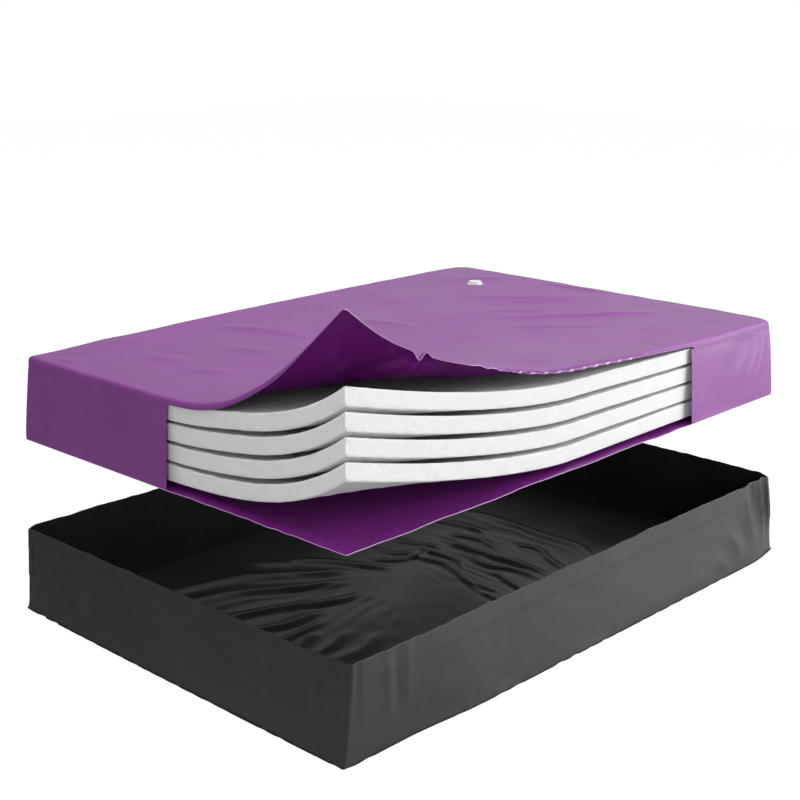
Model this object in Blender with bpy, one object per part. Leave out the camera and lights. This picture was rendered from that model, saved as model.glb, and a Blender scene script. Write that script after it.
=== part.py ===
"""Water mattress with a fibre core, cut open at one corner, raised above its safety liner.

Metres, +Z up. +X runs along the long side and +Y along the short side. The origin is on the
ground under the middle of the liner. The cut corner is at the low end of X and of Y. Plan
distances called run_x and run_y are counted from the liner's own corner there.
"""

import math

import bmesh
import bpy
import numpy as np

# Fits shared by all pieces
SEAT_GAP = 0.0003
CUT_OVERRUN = 0.010

# Safety liner, an open tray of film that stands up by itself
LINER_LENGTH = 2.000
LINER_WIDTH = 1.400
LINER_HEIGHT = 0.260
LINER_FILM = 0.002
LINER_FLANGE = 0.003
LINER_LEAN = 0.012
LINER_CORNER_RADIUS = 0.014
FOLD_FILM = 0.0015
FOLD_DROP = 0.147
FOLD_LONG_ARM = 0.044
FOLD_SHORT_ARM = 0.018
LAP_FILM = 0.001
LAP_HEIGHT = 0.060
LAP_END_GAP = 0.006

# Mattress envelope
MATTRESS_RAISED = 0.539
MATTRESS_HEIGHT = 0.251
MATTRESS_FILM = 0.002
FOOT_INSET = 0.024
RIM_INSET = 0.040
MATTRESS_CORNER_RADIUS = 0.014
EDGE_ROLL = 0.012
EDGE_HEM = 0.006
LEFT_CUT_RUN = 0.707
FRONT_CUT_RUN = 1.500
PATCH_FILM = 0.001
PATCH_ARM = 0.060
PATCH_FOOT_GAP = 0.004

# Peeled corner of the top sheet
FLAP_RUN_LEFT = 0.383
FLAP_RUN_FRONT = 0.388
FLAP_CURL_RADIUS = 0.554
FLAP_START_ANGLE = 0.973
FLAP_SOFT_START = 0.090
FLAP_LEAD_IN = 0.200
FLARE_HEIGHT = 0.105
FLARE_REACH = 1.450
FLARE_WIDTH = 0.179
SHEET_CLEARANCE = 0.004
SHEET_BLEND = 0.006

# Fibre core, a stack of loose fleece slabs whose cut corner is lifted
FIBRE_LAYERS = 4
FIBRE_THICKNESS = 0.049
FIBRE_INSET = 0.050
FIBRE_CHAMFER = 0.050
FIBRE_FLOAT = 0.012
WATER_GAP = 0.0076
WATER_GAP_OPEN = 0.0047
GAP_OPEN_SHARE = 0.45
CORNER_LIFT = 0.162
LIFT_REACH_X = 0.870
LIFT_REACH_Y = 1.200
LIFT_POWER_X = 1.5
LIFT_POWER_Y = 5.4
GAP_REACH_X = 1.450
GAP_REACH_Y = 0.660
SETTLE_START = 0.700
SETTLED_STRIP = 0.300

# Ties that hold the core in the closed corners
TIE_FILM = 0.0015
TIE_WIDTH = 0.040
TIE_ARM = 0.070
TIE_FOOT = 0.018

# Filling valve
VALVE_RUN_X = 1.730
VALVE_RUN_Y = 1.095
FLANGE_RADIUS = 0.029
FLANGE_THICKNESS = 0.0012
NECK_BORE_RADIUS = 0.0120
NECK_WALL = 0.0035
NECK_STAND = 0.0040
NECK_DEPTH = 0.022
CAP_RADIUS = 0.023
CAP_TOP = 0.0030
CAP_CLEARANCE = 0.0005
CAP_EDGE = 0.0012
CAP_SCALLOPS = 12
CAP_SCALLOP_DEPTH = 0.0007
PLUG_CLEARANCE = 0.0003
PLUG_TAPER = 0.0015
PLUG_RIM = 0.0010

# Mesh counts
CORNER_STEPS = 8
ROLL_STEPS = 3
SHEET_CELLS_X = 17
SHEET_CELLS_Y = 12
SHEET_GRADE_X = 1.4
SHEET_GRADE_Y = 1.3
FIBRE_CELLS_X = 11
FIBRE_CELLS_Y = 9
ROUND_STEPS = 36

# Levels that follow from the sizes
HALF_LENGTH = LINER_LENGTH / 2
HALF_WIDTH = LINER_WIDTH / 2
INNER_FLOOR = MATTRESS_RAISED + MATTRESS_FILM
MATTRESS_TOP = MATTRESS_RAISED + MATTRESS_HEIGHT
QUARTER = math.pi / 2
CORNERS = {
    "near": (-1, -1, 2 * QUARTER),
    "right": (1, -1, 3 * QUARTER),
    "back": (1, 1, 0.0),
    "left": (-1, 1, QUARTER),
}

PALETTE = {
    "purple_vinyl": ((0.28, 0.12, 0.34), 0.32),
    "black_liner_film": ((0.035, 0.035, 0.036), 0.30),
    "white_fleece": ((0.86, 0.86, 0.85), 0.95),
    "white_plastic": ((0.88, 0.88, 0.87), 0.30),
    "tie_webbing": ((0.70, 0.70, 0.68), 0.85),
}


def clear_scene():
    for obj in list(bpy.data.objects):
        bpy.data.objects.remove(obj, do_unlink=True)


def make_material(name):
    """A Principled material of the named colour and roughness."""
    material = bpy.data.materials.new(name)
    material.use_nodes = True
    shader = material.node_tree.nodes["Principled BSDF"]
    colour, roughness = PALETTE[name]
    shader.inputs["Base Color"].default_value = (*colour, 1)
    shader.inputs["Roughness"].default_value = roughness
    shader.inputs["Metallic"].default_value = 0
    return material


def link_mesh(name, verts, faces, material_name, origin=(0, 0, 0), smooth=False):
    """One object from points and faces, with its faces turned outwards."""
    mesh = bpy.data.meshes.new(name)
    work = bmesh.new()
    points = [work.verts.new(np.subtract(vert, origin)) for vert in verts]
    for face in faces:
        work.faces.new([points[index] for index in face])
    bmesh.ops.recalc_face_normals(work, faces=work.faces)
    work.to_mesh(mesh)
    work.free()
    if smooth:
        mesh.shade_smooth()
        mesh.set_sharp_from_angle(angle=math.radians(40))
    obj = bpy.data.objects.new(name, mesh)
    obj.location = origin
    mesh.materials.append(make_material(material_name))
    bpy.context.collection.objects.link(obj)
    return obj


def ramp(value):
    """Smooth step of a value held between 0 and 1."""
    held = np.clip(value, 0, 1)
    return held * held * (3 - 2 * held)


def soft_max(first, second, blend):
    """The larger of two heights, rounded where they cross."""
    return (first + second + np.sqrt((first - second) ** 2 + blend ** 2)) / 2


def corner_points(half_x, half_y, radius, corner, start_share, stop_share):
    """Plan points round a stretch of one corner's arc, counter-clockwise."""
    side_x, side_y, first_angle = CORNERS[corner]
    centre_x = side_x * (half_x - radius)
    centre_y = side_y * (half_y - radius)
    start = first_angle + start_share * QUARTER
    stop = first_angle + stop_share * QUARTER
    steps = round(CORNER_STEPS * (stop_share - start_share))
    return [
        (centre_x + radius * math.cos(angle), centre_y + radius * math.sin(angle))
        for angle in np.linspace(start, stop, steps + 1)
    ]


def band(name, path_at, foot, rim, film, material_name):
    """An upright film along a plan path, leaning from foot to rim, each (inset, height)."""
    foot_inset, foot_height = foot
    rim_inset, rim_height = rim
    rows = [
        [(x, y, foot_height) for x, y in path_at(foot_inset, 0)],
        [(x, y, rim_height) for x, y in path_at(rim_inset, 0)],
        [(x, y, rim_height) for x, y in path_at(rim_inset, film)],
        [(x, y, foot_height) for x, y in path_at(foot_inset, film)],
    ]
    count = len(rows[0])
    verts = [point for row in rows for point in row]
    faces = [[0, count, 2 * count, 3 * count], [k * count + count - 1 for k in range(4)][::-1]]
    for row in range(4):
        after = (row + 1) % 4
        for left, right in zip(range(count), range(1, count)):
            faces.append([
                row * count + left,
                row * count + right,
                after * count + right,
                after * count + left,
            ])
    return link_mesh(name, verts, faces, material_name, smooth=True)


def along_wall(foot, rim, height, away):
    """Inset and height of a point at a height on a leaning wall, moved inwards by away."""
    share = (height - foot[1]) / (rim[1] - foot[1])
    return foot[0] + (rim[0] - foot[0]) * share + away, height


def side_path(first_corner, last_corner, radius, first_end=None, last_end=None):
    """Plan path of one wall, from mid corner to mid corner, or from or to a straight cut.

    first_end or last_end is a function of the half sizes that gives the point of a cut.
    """
    joint_share = SEAT_GAP / (radius * QUARTER)

    def path_at(inset, film):
        half_x = HALF_LENGTH - inset - film
        half_y = HALF_WIDTH - inset - film
        bend = radius - film
        points = []
        if first_end:
            points.append(first_end(half_x, half_y))
        else:
            points += corner_points(half_x, half_y, bend, first_corner, 0.5 + joint_share, 1)
        if last_end:
            points.append(last_end(half_x, half_y))
        else:
            points += corner_points(half_x, half_y, bend, last_corner, 0, 0.5 - joint_share)
        return points

    return path_at


def corner_path(corner, radius, first_arm, last_arm):
    """Plan path of a strip that wraps one corner, with a straight arm on each side."""
    side_x, side_y, _ = CORNERS[corner]
    turned = side_x * side_y > 0

    def path_at(inset, film):
        half_x = HALF_LENGTH - inset - film
        half_y = HALF_WIDTH - inset - film
        bend = radius - film
        arc = corner_points(half_x, half_y, bend, corner, 0, 1)
        along_x = side_x * (half_x - bend)
        along_y = side_y * (half_y - bend)
        on_end_wall = (side_x * half_x, along_y - side_y * (first_arm if turned else last_arm))
        on_long_wall = (along_x - side_x * (last_arm if turned else first_arm), side_y * half_y)
        if turned:
            return [on_end_wall] + arc + [on_long_wall]
        return [on_long_wall] + arc + [on_end_wall]

    return path_at


def flat_panel(name, outline, bottom, top, material_name):
    """A flat film cut to an outline."""
    count = len(outline)
    verts = [(x, y, bottom) for x, y in outline] + [(x, y, top) for x, y in outline]
    faces = [list(range(count))[::-1], [count + k for k in range(count)]]
    for k in range(count):
        after = (k + 1) % count
        faces.append([k, after, count + after, count + k])
    return link_mesh(name, verts, faces, material_name)


def rounded_outline(inset, radius, sharp=()):
    """Plan outline of a panel, with the named corners left sharp."""
    half_x = HALF_LENGTH - inset
    half_y = HALF_WIDTH - inset
    points = []
    for corner, (side_x, side_y, _) in CORNERS.items():
        if corner in sharp:
            points.append((side_x * half_x, side_y * half_y))
        else:
            points += corner_points(half_x, half_y, radius, corner, 0, 1)
    return points


def build_liner():
    """Floor sheet, four walls, four corner folds and the lap strip of the safety liner."""
    film_name = "black_liner_film"
    flat_panel(
        "liner_floor_sheet", rounded_outline(0, LINER_CORNER_RADIUS), 0, LINER_FILM, film_name
    )
    foot = (LINER_FLANGE, LINER_FILM + SEAT_GAP)
    rim = (LINER_FLANGE + LINER_LEAN, LINER_HEIGHT)
    sides = {
        "front": ("near", "right"),
        "right": ("right", "back"),
        "back": ("back", "left"),
        "left": ("left", "near"),
    }
    for side, (first, last) in sides.items():
        path = side_path(first, last, LINER_CORNER_RADIUS)
        band(f"liner_{side}_wall", path, foot, rim, LINER_FILM, film_name)

    proud = FOLD_FILM + SEAT_GAP
    fold_foot = along_wall(foot, rim, LINER_HEIGHT - FOLD_DROP, -proud)
    fold_rim = along_wall(foot, rim, LINER_HEIGHT, -proud)
    arms = {
        "near": (FOLD_SHORT_ARM, FOLD_LONG_ARM),
        "right": (FOLD_LONG_ARM, FOLD_SHORT_ARM),
        "back": (FOLD_SHORT_ARM, FOLD_LONG_ARM),
        "left": (FOLD_LONG_ARM, FOLD_SHORT_ARM),
    }
    for corner, (first_arm, last_arm) in arms.items():
        path = corner_path(corner, LINER_CORNER_RADIUS + proud, first_arm, last_arm)
        band(f"liner_{corner}_corner_fold", path, fold_foot, fold_rim, FOLD_FILM, film_name)

    lap_proud = LAP_FILM + SEAT_GAP
    lap_foot = along_wall(foot, rim, LINER_HEIGHT - LAP_HEIGHT, -lap_proud)
    lap_rim = along_wall(foot, rim, LINER_HEIGHT, -lap_proud)
    reach = LINER_CORNER_RADIUS + FOLD_LONG_ARM + LAP_END_GAP

    def lap_path(inset, film):
        half_x = HALF_LENGTH - LINER_FLANGE - LINER_LEAN - reach
        edge_y = -(HALF_WIDTH - inset - film)
        return [(-half_x, edge_y), (half_x, edge_y)]

    band("liner_front_lap_strip", lap_path, lap_foot, lap_rim, LAP_FILM, film_name)


def settle(run_y):
    """1 along the cut side, falling to 0 where the core lies flat on the bottom sheet."""
    slope_width = LINER_WIDTH - SETTLED_STRIP - SETTLE_START
    return 1 - ramp((run_y - SETTLE_START) / slope_width)


def corner_rise(run_x, run_y):
    """Height by which the lifted corner raises the bottom of the core."""
    share_x = np.clip(1 - (run_x - FIBRE_INSET) / LIFT_REACH_X, 0, 1)
    share_y = np.clip(1 - (run_y - FIBRE_INSET) / LIFT_REACH_Y, 0, 1)
    return CORNER_LIFT * share_x ** LIFT_POWER_X * share_y ** LIFT_POWER_Y


def layer_gap(run_x, run_y):
    """Open water gap between two fibre layers."""
    share_x = np.clip(1 - (run_x - FIBRE_INSET) / GAP_REACH_X, 0, 1)
    share_y = np.clip(1 - (run_y - FIBRE_INSET) / GAP_REACH_Y, 0, 1)
    opened = ramp(np.minimum(share_x, share_y) / GAP_OPEN_SHARE)
    return SEAT_GAP + (WATER_GAP + WATER_GAP_OPEN * opened) * settle(run_y)


def layer_bottom(level, run_x, run_y):
    """Underside of a fibre layer; level 0 is the lowest."""
    base = INNER_FLOOR + SEAT_GAP + FIBRE_FLOAT * settle(run_y) + corner_rise(run_x, run_y)
    return base + level * (FIBRE_THICKNESS + layer_gap(run_x, run_y))


def core_top(run_x, run_y):
    return layer_bottom(FIBRE_LAYERS - 1, run_x, run_y) + FIBRE_THICKNESS


def sheet_place(run_x, run_y):
    """Point of the top sheet after its corner is peeled back.

    The corner curls round a cylinder across the corner, from the line through the two
    FLAP_RUN distances. Along the front edge the sheet also flares up off the core.
    """
    inverse = np.array([1 / FLAP_RUN_FRONT, 1 / FLAP_RUN_LEFT])
    depth = 1 / np.linalg.norm(inverse)
    back_x, back_y = inverse * depth
    signed = depth - back_x * (run_x - RIM_INSET) - back_y * (run_y - RIM_INSET)
    curled = (signed + np.sqrt(signed ** 2 + FLAP_SOFT_START ** 2)) / 2
    curled = curled * ramp(1 + signed / FLAP_LEAD_IN)
    foot_x = run_x + back_x * curled
    foot_y = run_y + back_y * curled
    turn = FLAP_START_ANGLE + curled / FLAP_CURL_RADIUS
    along = FLAP_CURL_RADIUS * (math.sin(FLAP_START_ANGLE) - np.sin(turn))
    up = FLAP_CURL_RADIUS * (math.cos(FLAP_START_ANGLE) - np.cos(turn))
    flare_x = np.clip(1 - (foot_x - RIM_INSET) / FLARE_REACH, 0, 1)
    flare_y = np.clip(1 - (foot_y - RIM_INSET) / FLARE_WIDTH, 0, 1) ** 2
    over_core = core_top(foot_x, foot_y) + SHEET_CLEARANCE
    level = soft_max(MATTRESS_TOP, over_core, SHEET_BLEND) + FLARE_HEIGHT * flare_x * flare_y
    place_x = foot_x + back_x * along - HALF_LENGTH
    place_y = foot_y + back_y * along - HALF_WIDTH
    return np.array([place_x, place_y, level + up])


def sheet_point(run_x, run_y, drop):
    """Point of the sheet's outer face; drop is how far its rolled edge turns inwards."""
    step = SEAT_GAP
    place = sheet_place(run_x, run_y)
    if drop == 0:
        return place
    slope_x = sheet_place(run_x + step, run_y) - sheet_place(run_x - step, run_y)
    slope_y = sheet_place(run_x, run_y + step) - sheet_place(run_x, run_y - step)
    normal = np.cross(slope_x, slope_y)
    return place - normal / np.linalg.norm(normal) * drop


def graded(start, stop, cells, power):
    """Places between two ends, closer together at the first."""
    return [start + (stop - start) * (k / cells) ** power for k in range(cells + 1)]


def rolled_rings():
    """Reach and drop of each ring of the sheet's edge, from the flat part out to the hem."""
    rings = [(MATTRESS_CORNER_RADIUS - EDGE_ROLL, 0.0)]
    for k in range(1, ROLL_STEPS + 1):
        angle = QUARTER * k / ROLL_STEPS
        reach = MATTRESS_CORNER_RADIUS - EDGE_ROLL * (1 - math.sin(angle))
        rings.append((reach, EDGE_ROLL * (1 - math.cos(angle))))
    rings.append((MATTRESS_CORNER_RADIUS, EDGE_ROLL + EDGE_HEM))
    return rings


def build_top_sheet():
    """Top sheet with rolled edges and its peeled corner, and the hole for the valve."""
    rings = rolled_rings()
    count = len(rings)
    low = RIM_INSET + MATTRESS_CORNER_RADIUS
    runs_x = graded(low, LINER_LENGTH - low, SHEET_CELLS_X, SHEET_GRADE_X)
    runs_y = graded(low, LINER_WIDTH - low, SHEET_CELLS_Y, SHEET_GRADE_Y)
    last_x = len(runs_x) - 1
    last_y = len(runs_y) - 1

    def flat_place(i, j):
        """Run distances and drop of grid point i, j, with indices past the ends on the roll."""
        over_x = max(-i, i - last_x, 0)
        over_y = max(-j, j - last_y, 0)
        run_x = runs_x[min(max(i, 0), last_x)]
        run_y = runs_y[min(max(j, 0), last_y)]
        ring = max(over_x, over_y)
        if ring == 0:
            return run_x, run_y, 0.0
        reach, drop = rings[ring - 1]
        if over_x >= over_y:
            angle = QUARTER / 2 * over_y / over_x
        else:
            angle = QUARTER - QUARTER / 2 * over_x / over_y
        run_x += (-1 if i < 0 else 1) * reach * math.cos(angle)
        run_y += (-1 if j < 0 else 1) * reach * math.sin(angle)
        return run_x, run_y, drop

    index = {}
    verts = []
    for i in range(-count, last_x + count + 1):
        for j in range(-count, last_y + count + 1):
            index[i, j] = len(verts)
            verts.append(sheet_point(*flat_place(i, j)))
    faces = [
        [index[i, j], index[i + 1, j], index[i + 1, j + 1], index[i, j + 1]]
        for i in range(-count, last_x + count)
        for j in range(-count, last_y + count)
    ]
    sheet = link_mesh("mattress_top_sheet", verts, faces, "purple_vinyl", smooth=True)
    if sheet.data.polygons[0].normal.z < 0:
        sheet.data.flip_normals()
    thicken = sheet.modifiers.new("film", "SOLIDIFY")
    thicken.thickness = MATTRESS_FILM
    thicken.offset = -1
    thicken.use_even_offset = True

    centre = (VALVE_RUN_X - HALF_LENGTH, VALVE_RUN_Y - HALF_WIDTH)
    hole_radius = NECK_BORE_RADIUS + NECK_WALL + SEAT_GAP
    profile = [
        (0, MATTRESS_TOP - CUT_OVERRUN),
        (hole_radius, MATTRESS_TOP - CUT_OVERRUN),
        (hole_radius, MATTRESS_TOP + CUT_OVERRUN),
        (0, MATTRESS_TOP + CUT_OVERRUN),
    ]
    cutter = turned("valve_hole_cutter", profile, centre, "purple_vinyl")
    cutter.hide_render = True
    cutter.display_type = "WIRE"
    cut = sheet.modifiers.new("valve_hole", "BOOLEAN")
    cut.operation = "DIFFERENCE"
    cut.object = cutter
    return sheet


def turned(name, profile, centre, material_name, wave=None, closed=False):
    """A piece turned round an upright axis, from (radius, height) points run bottom to top.

    closed joins the last point to the first, for a ring. wave gives the radius a ripple.
    """
    centre_x, centre_y = centre
    verts = []
    rows = []
    for radius, height in profile:
        if radius == 0:
            rows.append([len(verts)])
            verts.append((centre_x, centre_y, height))
            continue
        row = []
        for k in range(ROUND_STEPS):
            angle = 4 * QUARTER * k / ROUND_STEPS
            at = radius + (wave(radius, angle) if wave else 0)
            row.append(len(verts))
            verts.append((centre_x + at * math.cos(angle), centre_y + at * math.sin(angle), height))
        rows.append(row)
    pairs = list(zip(rows, rows[1:]))
    if closed:
        pairs.append((rows[-1], rows[0]))
    faces = []
    for low, high in pairs:
        for k in range(ROUND_STEPS):
            after = (k + 1) % ROUND_STEPS
            corners = [low[k % len(low)], low[after % len(low)]]
            corners += [high[after % len(high)], high[k % len(high)]]
            face = list(dict.fromkeys(corners))
            if len(face) > 2:
                faces.append(face)
    return link_mesh(name, verts, faces, material_name, (centre_x, centre_y, profile[0][1]), True)


def build_mattress_walls():
    """Bottom sheet, the four walls, two of them cut short, and the corner patches."""
    film_name = "purple_vinyl"
    outline = rounded_outline(FOOT_INSET, MATTRESS_CORNER_RADIUS, sharp=("near",))
    flat_panel("mattress_bottom_sheet", outline, MATTRESS_RAISED, INNER_FLOOR, film_name)

    foot = (FOOT_INSET, INNER_FLOOR + SEAT_GAP)
    rim = (RIM_INSET, MATTRESS_TOP - EDGE_ROLL - EDGE_HEM - SEAT_GAP)
    radius = MATTRESS_CORNER_RADIUS

    def front_cut(half_x, half_y):
        return FRONT_CUT_RUN - HALF_LENGTH, -half_y

    def left_cut(half_x, half_y):
        return -half_x, LEFT_CUT_RUN - HALF_WIDTH

    paths = {
        "front": side_path(None, "right", radius, first_end=front_cut),
        "right": side_path("right", "back", radius),
        "back": side_path("back", "left", radius),
        "left": side_path("left", None, radius, last_end=left_cut),
    }
    for side, path in paths.items():
        band(f"mattress_{side}_wall", path, foot, rim, MATTRESS_FILM, film_name)

    behind = MATTRESS_FILM + SEAT_GAP
    patch_foot = along_wall(foot, rim, foot[1] + PATCH_FOOT_GAP, behind)
    patch_rim = along_wall(foot, rim, rim[1] - PATCH_FOOT_GAP, behind)
    for corner in ("right", "back", "left"):
        path = corner_path(corner, radius - behind, PATCH_ARM, PATCH_ARM)
        band(f"{corner}_corner_patch", path, patch_foot, patch_rim, PATCH_FILM, film_name)


def build_fibre_core():
    """Fleece slabs, each a grid with a flat top and bottom and its three far corners cut off."""
    low = FIBRE_INSET
    high_x = LINER_LENGTH - FIBRE_INSET
    high_y = LINER_WIDTH - FIBRE_INSET
    inner_x = graded(low + FIBRE_CHAMFER, high_x - FIBRE_CHAMFER, FIBRE_CELLS_X, SHEET_GRADE_X)
    inner_y = graded(low + FIBRE_CHAMFER, high_y - FIBRE_CHAMFER, FIBRE_CELLS_Y, SHEET_GRADE_Y)
    runs_x = [low] + inner_x + [high_x]
    runs_y = [low] + inner_y + [high_y]
    count_x = len(runs_x)
    count_y = len(runs_y)

    def plan(i, j):
        run_x = runs_x[i]
        run_y = runs_y[j]
        at_far_x = i == count_x - 1
        at_end_y = j in (0, count_y - 1)
        if at_end_y and (at_far_x or (i == 0 and j > 0)):
            run_x += FIBRE_CHAMFER / 2 * (1 if i == 0 else -1)
            run_y += FIBRE_CHAMFER / 2 * (1 if j == 0 else -1)
        return run_x, run_y

    cells = [(i, j) for i in range(count_x - 1) for j in range(count_y - 1)]
    ring = (
        [(i, 0) for i in range(count_x - 1)]
        + [(count_x - 1, j) for j in range(count_y - 1)]
        + [(i, count_y - 1) for i in range(count_x - 1, 0, -1)]
        + [(0, j) for j in range(count_y - 1, 0, -1)]
    )
    for level in range(FIBRE_LAYERS):
        verts = []
        index = {}
        for side, raise_by in enumerate((0, FIBRE_THICKNESS)):
            for i in range(count_x):
                for j in range(count_y):
                    run_x, run_y = plan(i, j)
                    height = layer_bottom(level, run_x, run_y) + raise_by
                    index[side, i, j] = len(verts)
                    verts.append((run_x - HALF_LENGTH, run_y - HALF_WIDTH, height))
        faces = []
        for i, j in cells:
            for side in (0, 1):
                faces.append([
                    index[side, i, j],
                    index[side, i + 1, j],
                    index[side, i + 1, j + 1],
                    index[side, i, j + 1],
                ])
        for here, after in zip(ring, ring[1:] + ring[:1]):
            faces.append([
                index[(0, *here)], index[(0, *after)], index[(1, *after)], index[(1, *here)]
            ])
        name = f"fibre_layer_{FIBRE_LAYERS - level}"
        link_mesh(name, verts, faces, "white_fleece", smooth=True)


def build_ties():
    """A webbing tie in each closed corner: foot on the bottom sheet, arm over the core."""
    for corner in ("right", "back", "left"):
        side_x, side_y, _ = CORNERS[corner]
        inward = np.array([-side_x, -side_y]) / math.sqrt(2)
        across = np.array([-inward[1], inward[0]])
        middle = FIBRE_INSET + FIBRE_CHAMFER / 2
        face = np.array([side_x * (HALF_LENGTH - middle), side_y * (HALF_WIDTH - middle)])
        run_x, run_y = face + (HALF_LENGTH, HALF_WIDTH)
        low = INNER_FLOOR + SEAT_GAP
        high = core_top(run_x, run_y) + SEAT_GAP
        outer = -SEAT_GAP - TIE_FILM
        profile = [
            (outer - TIE_FOOT, low),
            (-SEAT_GAP, low),
            (-SEAT_GAP, high),
            (TIE_ARM, high),
            (TIE_ARM, high + TIE_FILM),
            (outer, high + TIE_FILM),
            (outer, low + TIE_FILM),
            (outer - TIE_FOOT, low + TIE_FILM),
        ]
        count = len(profile)
        verts = []
        for side in (-1, 1):
            for depth, height in profile:
                x, y = face + inward * depth + across * side * TIE_WIDTH / 2
                verts.append((x, y, height))
        faces = [list(range(count)), list(range(count, 2 * count))]
        for k in range(count):
            after = (k + 1) % count
            faces.append([k, after, count + after, count + k])
        link_mesh(f"{corner}_corner_tie", verts, faces, "tie_webbing")


def build_valve():
    """Flanged neck in the top sheet, the plug in its bore and the cap over it."""
    centre_x = VALVE_RUN_X - HALF_LENGTH
    centre_y = VALVE_RUN_Y - HALF_WIDTH
    centre = (centre_x, centre_y)
    sheet_top = float(sheet_place(VALVE_RUN_X, VALVE_RUN_Y)[2])
    flange_low = sheet_top + SEAT_GAP
    flange_high = flange_low + FLANGE_THICKNESS
    neck_high = flange_high + NECK_STAND
    neck_low = sheet_top - NECK_DEPTH
    neck_radius = NECK_BORE_RADIUS + NECK_WALL
    neck_profile = [
        (neck_radius, neck_low),
        (neck_radius, flange_low),
        (FLANGE_RADIUS, flange_low),
        (FLANGE_RADIUS - FLANGE_THICKNESS, flange_high),
        (neck_radius, flange_high),
        (neck_radius, neck_high),
        (NECK_BORE_RADIUS, neck_high),
        (NECK_BORE_RADIUS, neck_low),
    ]
    turned("valve_neck", neck_profile, centre, "white_plastic", closed=True)

    plug_radius = NECK_BORE_RADIUS - PLUG_CLEARANCE
    plug_profile = [
        (0, neck_low),
        (plug_radius - PLUG_TAPER, neck_low),
        (plug_radius, neck_low + PLUG_TAPER),
        (plug_radius, neck_high + SEAT_GAP),
        (NECK_BORE_RADIUS + NECK_WALL / 2, neck_high + SEAT_GAP),
        (NECK_BORE_RADIUS + NECK_WALL / 2, neck_high + SEAT_GAP + PLUG_RIM),
        (0, neck_high + SEAT_GAP + PLUG_RIM),
    ]
    turned("valve_plug", plug_profile, centre, "white_plastic")

    def scallop(radius, angle):
        if radius < CAP_RADIUS - CAP_EDGE:
            return 0
        return -CAP_SCALLOP_DEPTH * (1 + math.cos(CAP_SCALLOPS * angle)) / 2

    cap_low = flange_high + SEAT_GAP
    cap_under = neck_high + SEAT_GAP + PLUG_RIM + SEAT_GAP
    cap_high = cap_under + CAP_TOP
    cap_profile = [
        (0, cap_under),
        (neck_radius + CAP_CLEARANCE, cap_under),
        (neck_radius + CAP_CLEARANCE, cap_low),
        (CAP_RADIUS, cap_low),
        (CAP_RADIUS, cap_high - CAP_EDGE),
        (CAP_RADIUS - CAP_EDGE, cap_high),
        (0, cap_high),
    ]
    turned("valve_cap", cap_profile, centre, "white_plastic", wave=scallop)


def main():
    clear_scene()
    build_liner()
    build_mattress_walls()
    build_fibre_core()
    build_ties()
    build_top_sheet()
    build_valve()


main()
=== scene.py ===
import math
from collections import namedtuple

import bpy
import numpy as np
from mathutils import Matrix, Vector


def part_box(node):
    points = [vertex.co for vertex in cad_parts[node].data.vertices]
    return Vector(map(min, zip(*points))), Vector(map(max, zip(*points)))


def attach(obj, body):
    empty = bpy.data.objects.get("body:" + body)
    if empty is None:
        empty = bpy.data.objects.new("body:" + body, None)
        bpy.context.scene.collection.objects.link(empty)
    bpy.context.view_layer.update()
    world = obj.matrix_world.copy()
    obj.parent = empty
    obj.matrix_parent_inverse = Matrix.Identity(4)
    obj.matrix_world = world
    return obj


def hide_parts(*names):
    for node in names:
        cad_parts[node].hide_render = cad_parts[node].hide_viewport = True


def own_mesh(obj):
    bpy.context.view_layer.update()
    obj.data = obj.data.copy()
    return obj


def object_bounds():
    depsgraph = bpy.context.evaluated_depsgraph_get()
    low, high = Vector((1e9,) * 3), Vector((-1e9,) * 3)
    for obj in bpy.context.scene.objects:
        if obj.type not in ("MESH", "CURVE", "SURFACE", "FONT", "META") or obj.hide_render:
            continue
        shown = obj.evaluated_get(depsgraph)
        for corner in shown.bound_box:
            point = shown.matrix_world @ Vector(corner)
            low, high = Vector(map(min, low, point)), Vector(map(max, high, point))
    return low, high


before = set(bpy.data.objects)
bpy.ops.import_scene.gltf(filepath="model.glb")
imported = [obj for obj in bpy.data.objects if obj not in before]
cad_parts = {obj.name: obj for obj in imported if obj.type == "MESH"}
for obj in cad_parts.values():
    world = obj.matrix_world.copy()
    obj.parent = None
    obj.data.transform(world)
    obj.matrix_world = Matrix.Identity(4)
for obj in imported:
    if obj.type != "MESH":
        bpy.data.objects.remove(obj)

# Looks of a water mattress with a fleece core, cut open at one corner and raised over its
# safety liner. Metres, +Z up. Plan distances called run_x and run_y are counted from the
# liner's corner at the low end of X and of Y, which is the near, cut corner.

bl_info = {
    "name": "Waterbed looks",
    "version": (1, 0, 0),
    "blender": (4, 5, 0),
    "location": "3D View > Sidebar > Waterbed",
    "description": "Looks of a cut-open water mattress over its liner, with a studio",
    "category": "Object",
}

CAD_BOX = [list(corner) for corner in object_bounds()]
LOW, HIGH = 0, 1
X, Y, Z = 0, 1, 2
QUARTER = math.pi / 2
FULL_TURN = 4 * QUARTER
TINY = 1e-9
FINE_PLACES = 4001
WAVE_LENGTHS = (0.7, 1.6)

# Liner sizes, from its nodes
HALF_LENGTH, HALF_WIDTH, LINER_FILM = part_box("liner_floor_sheet")[HIGH]
LINER_LENGTH = 2 * HALF_LENGTH
LINER_WIDTH = 2 * HALF_WIDTH
LINER_FOOT_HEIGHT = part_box("liner_front_wall")[LOW][Z]
LINER_RIM_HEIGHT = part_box("liner_front_wall")[HIGH][Z]
LINER_FOOT_INSET = HALF_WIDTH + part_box("liner_front_wall")[LOW][Y]
LAP_FOOT_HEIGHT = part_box("liner_front_lap_strip")[LOW][Z]
FOLD_FOOT_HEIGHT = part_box("liner_near_corner_fold")[LOW][Z]

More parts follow.
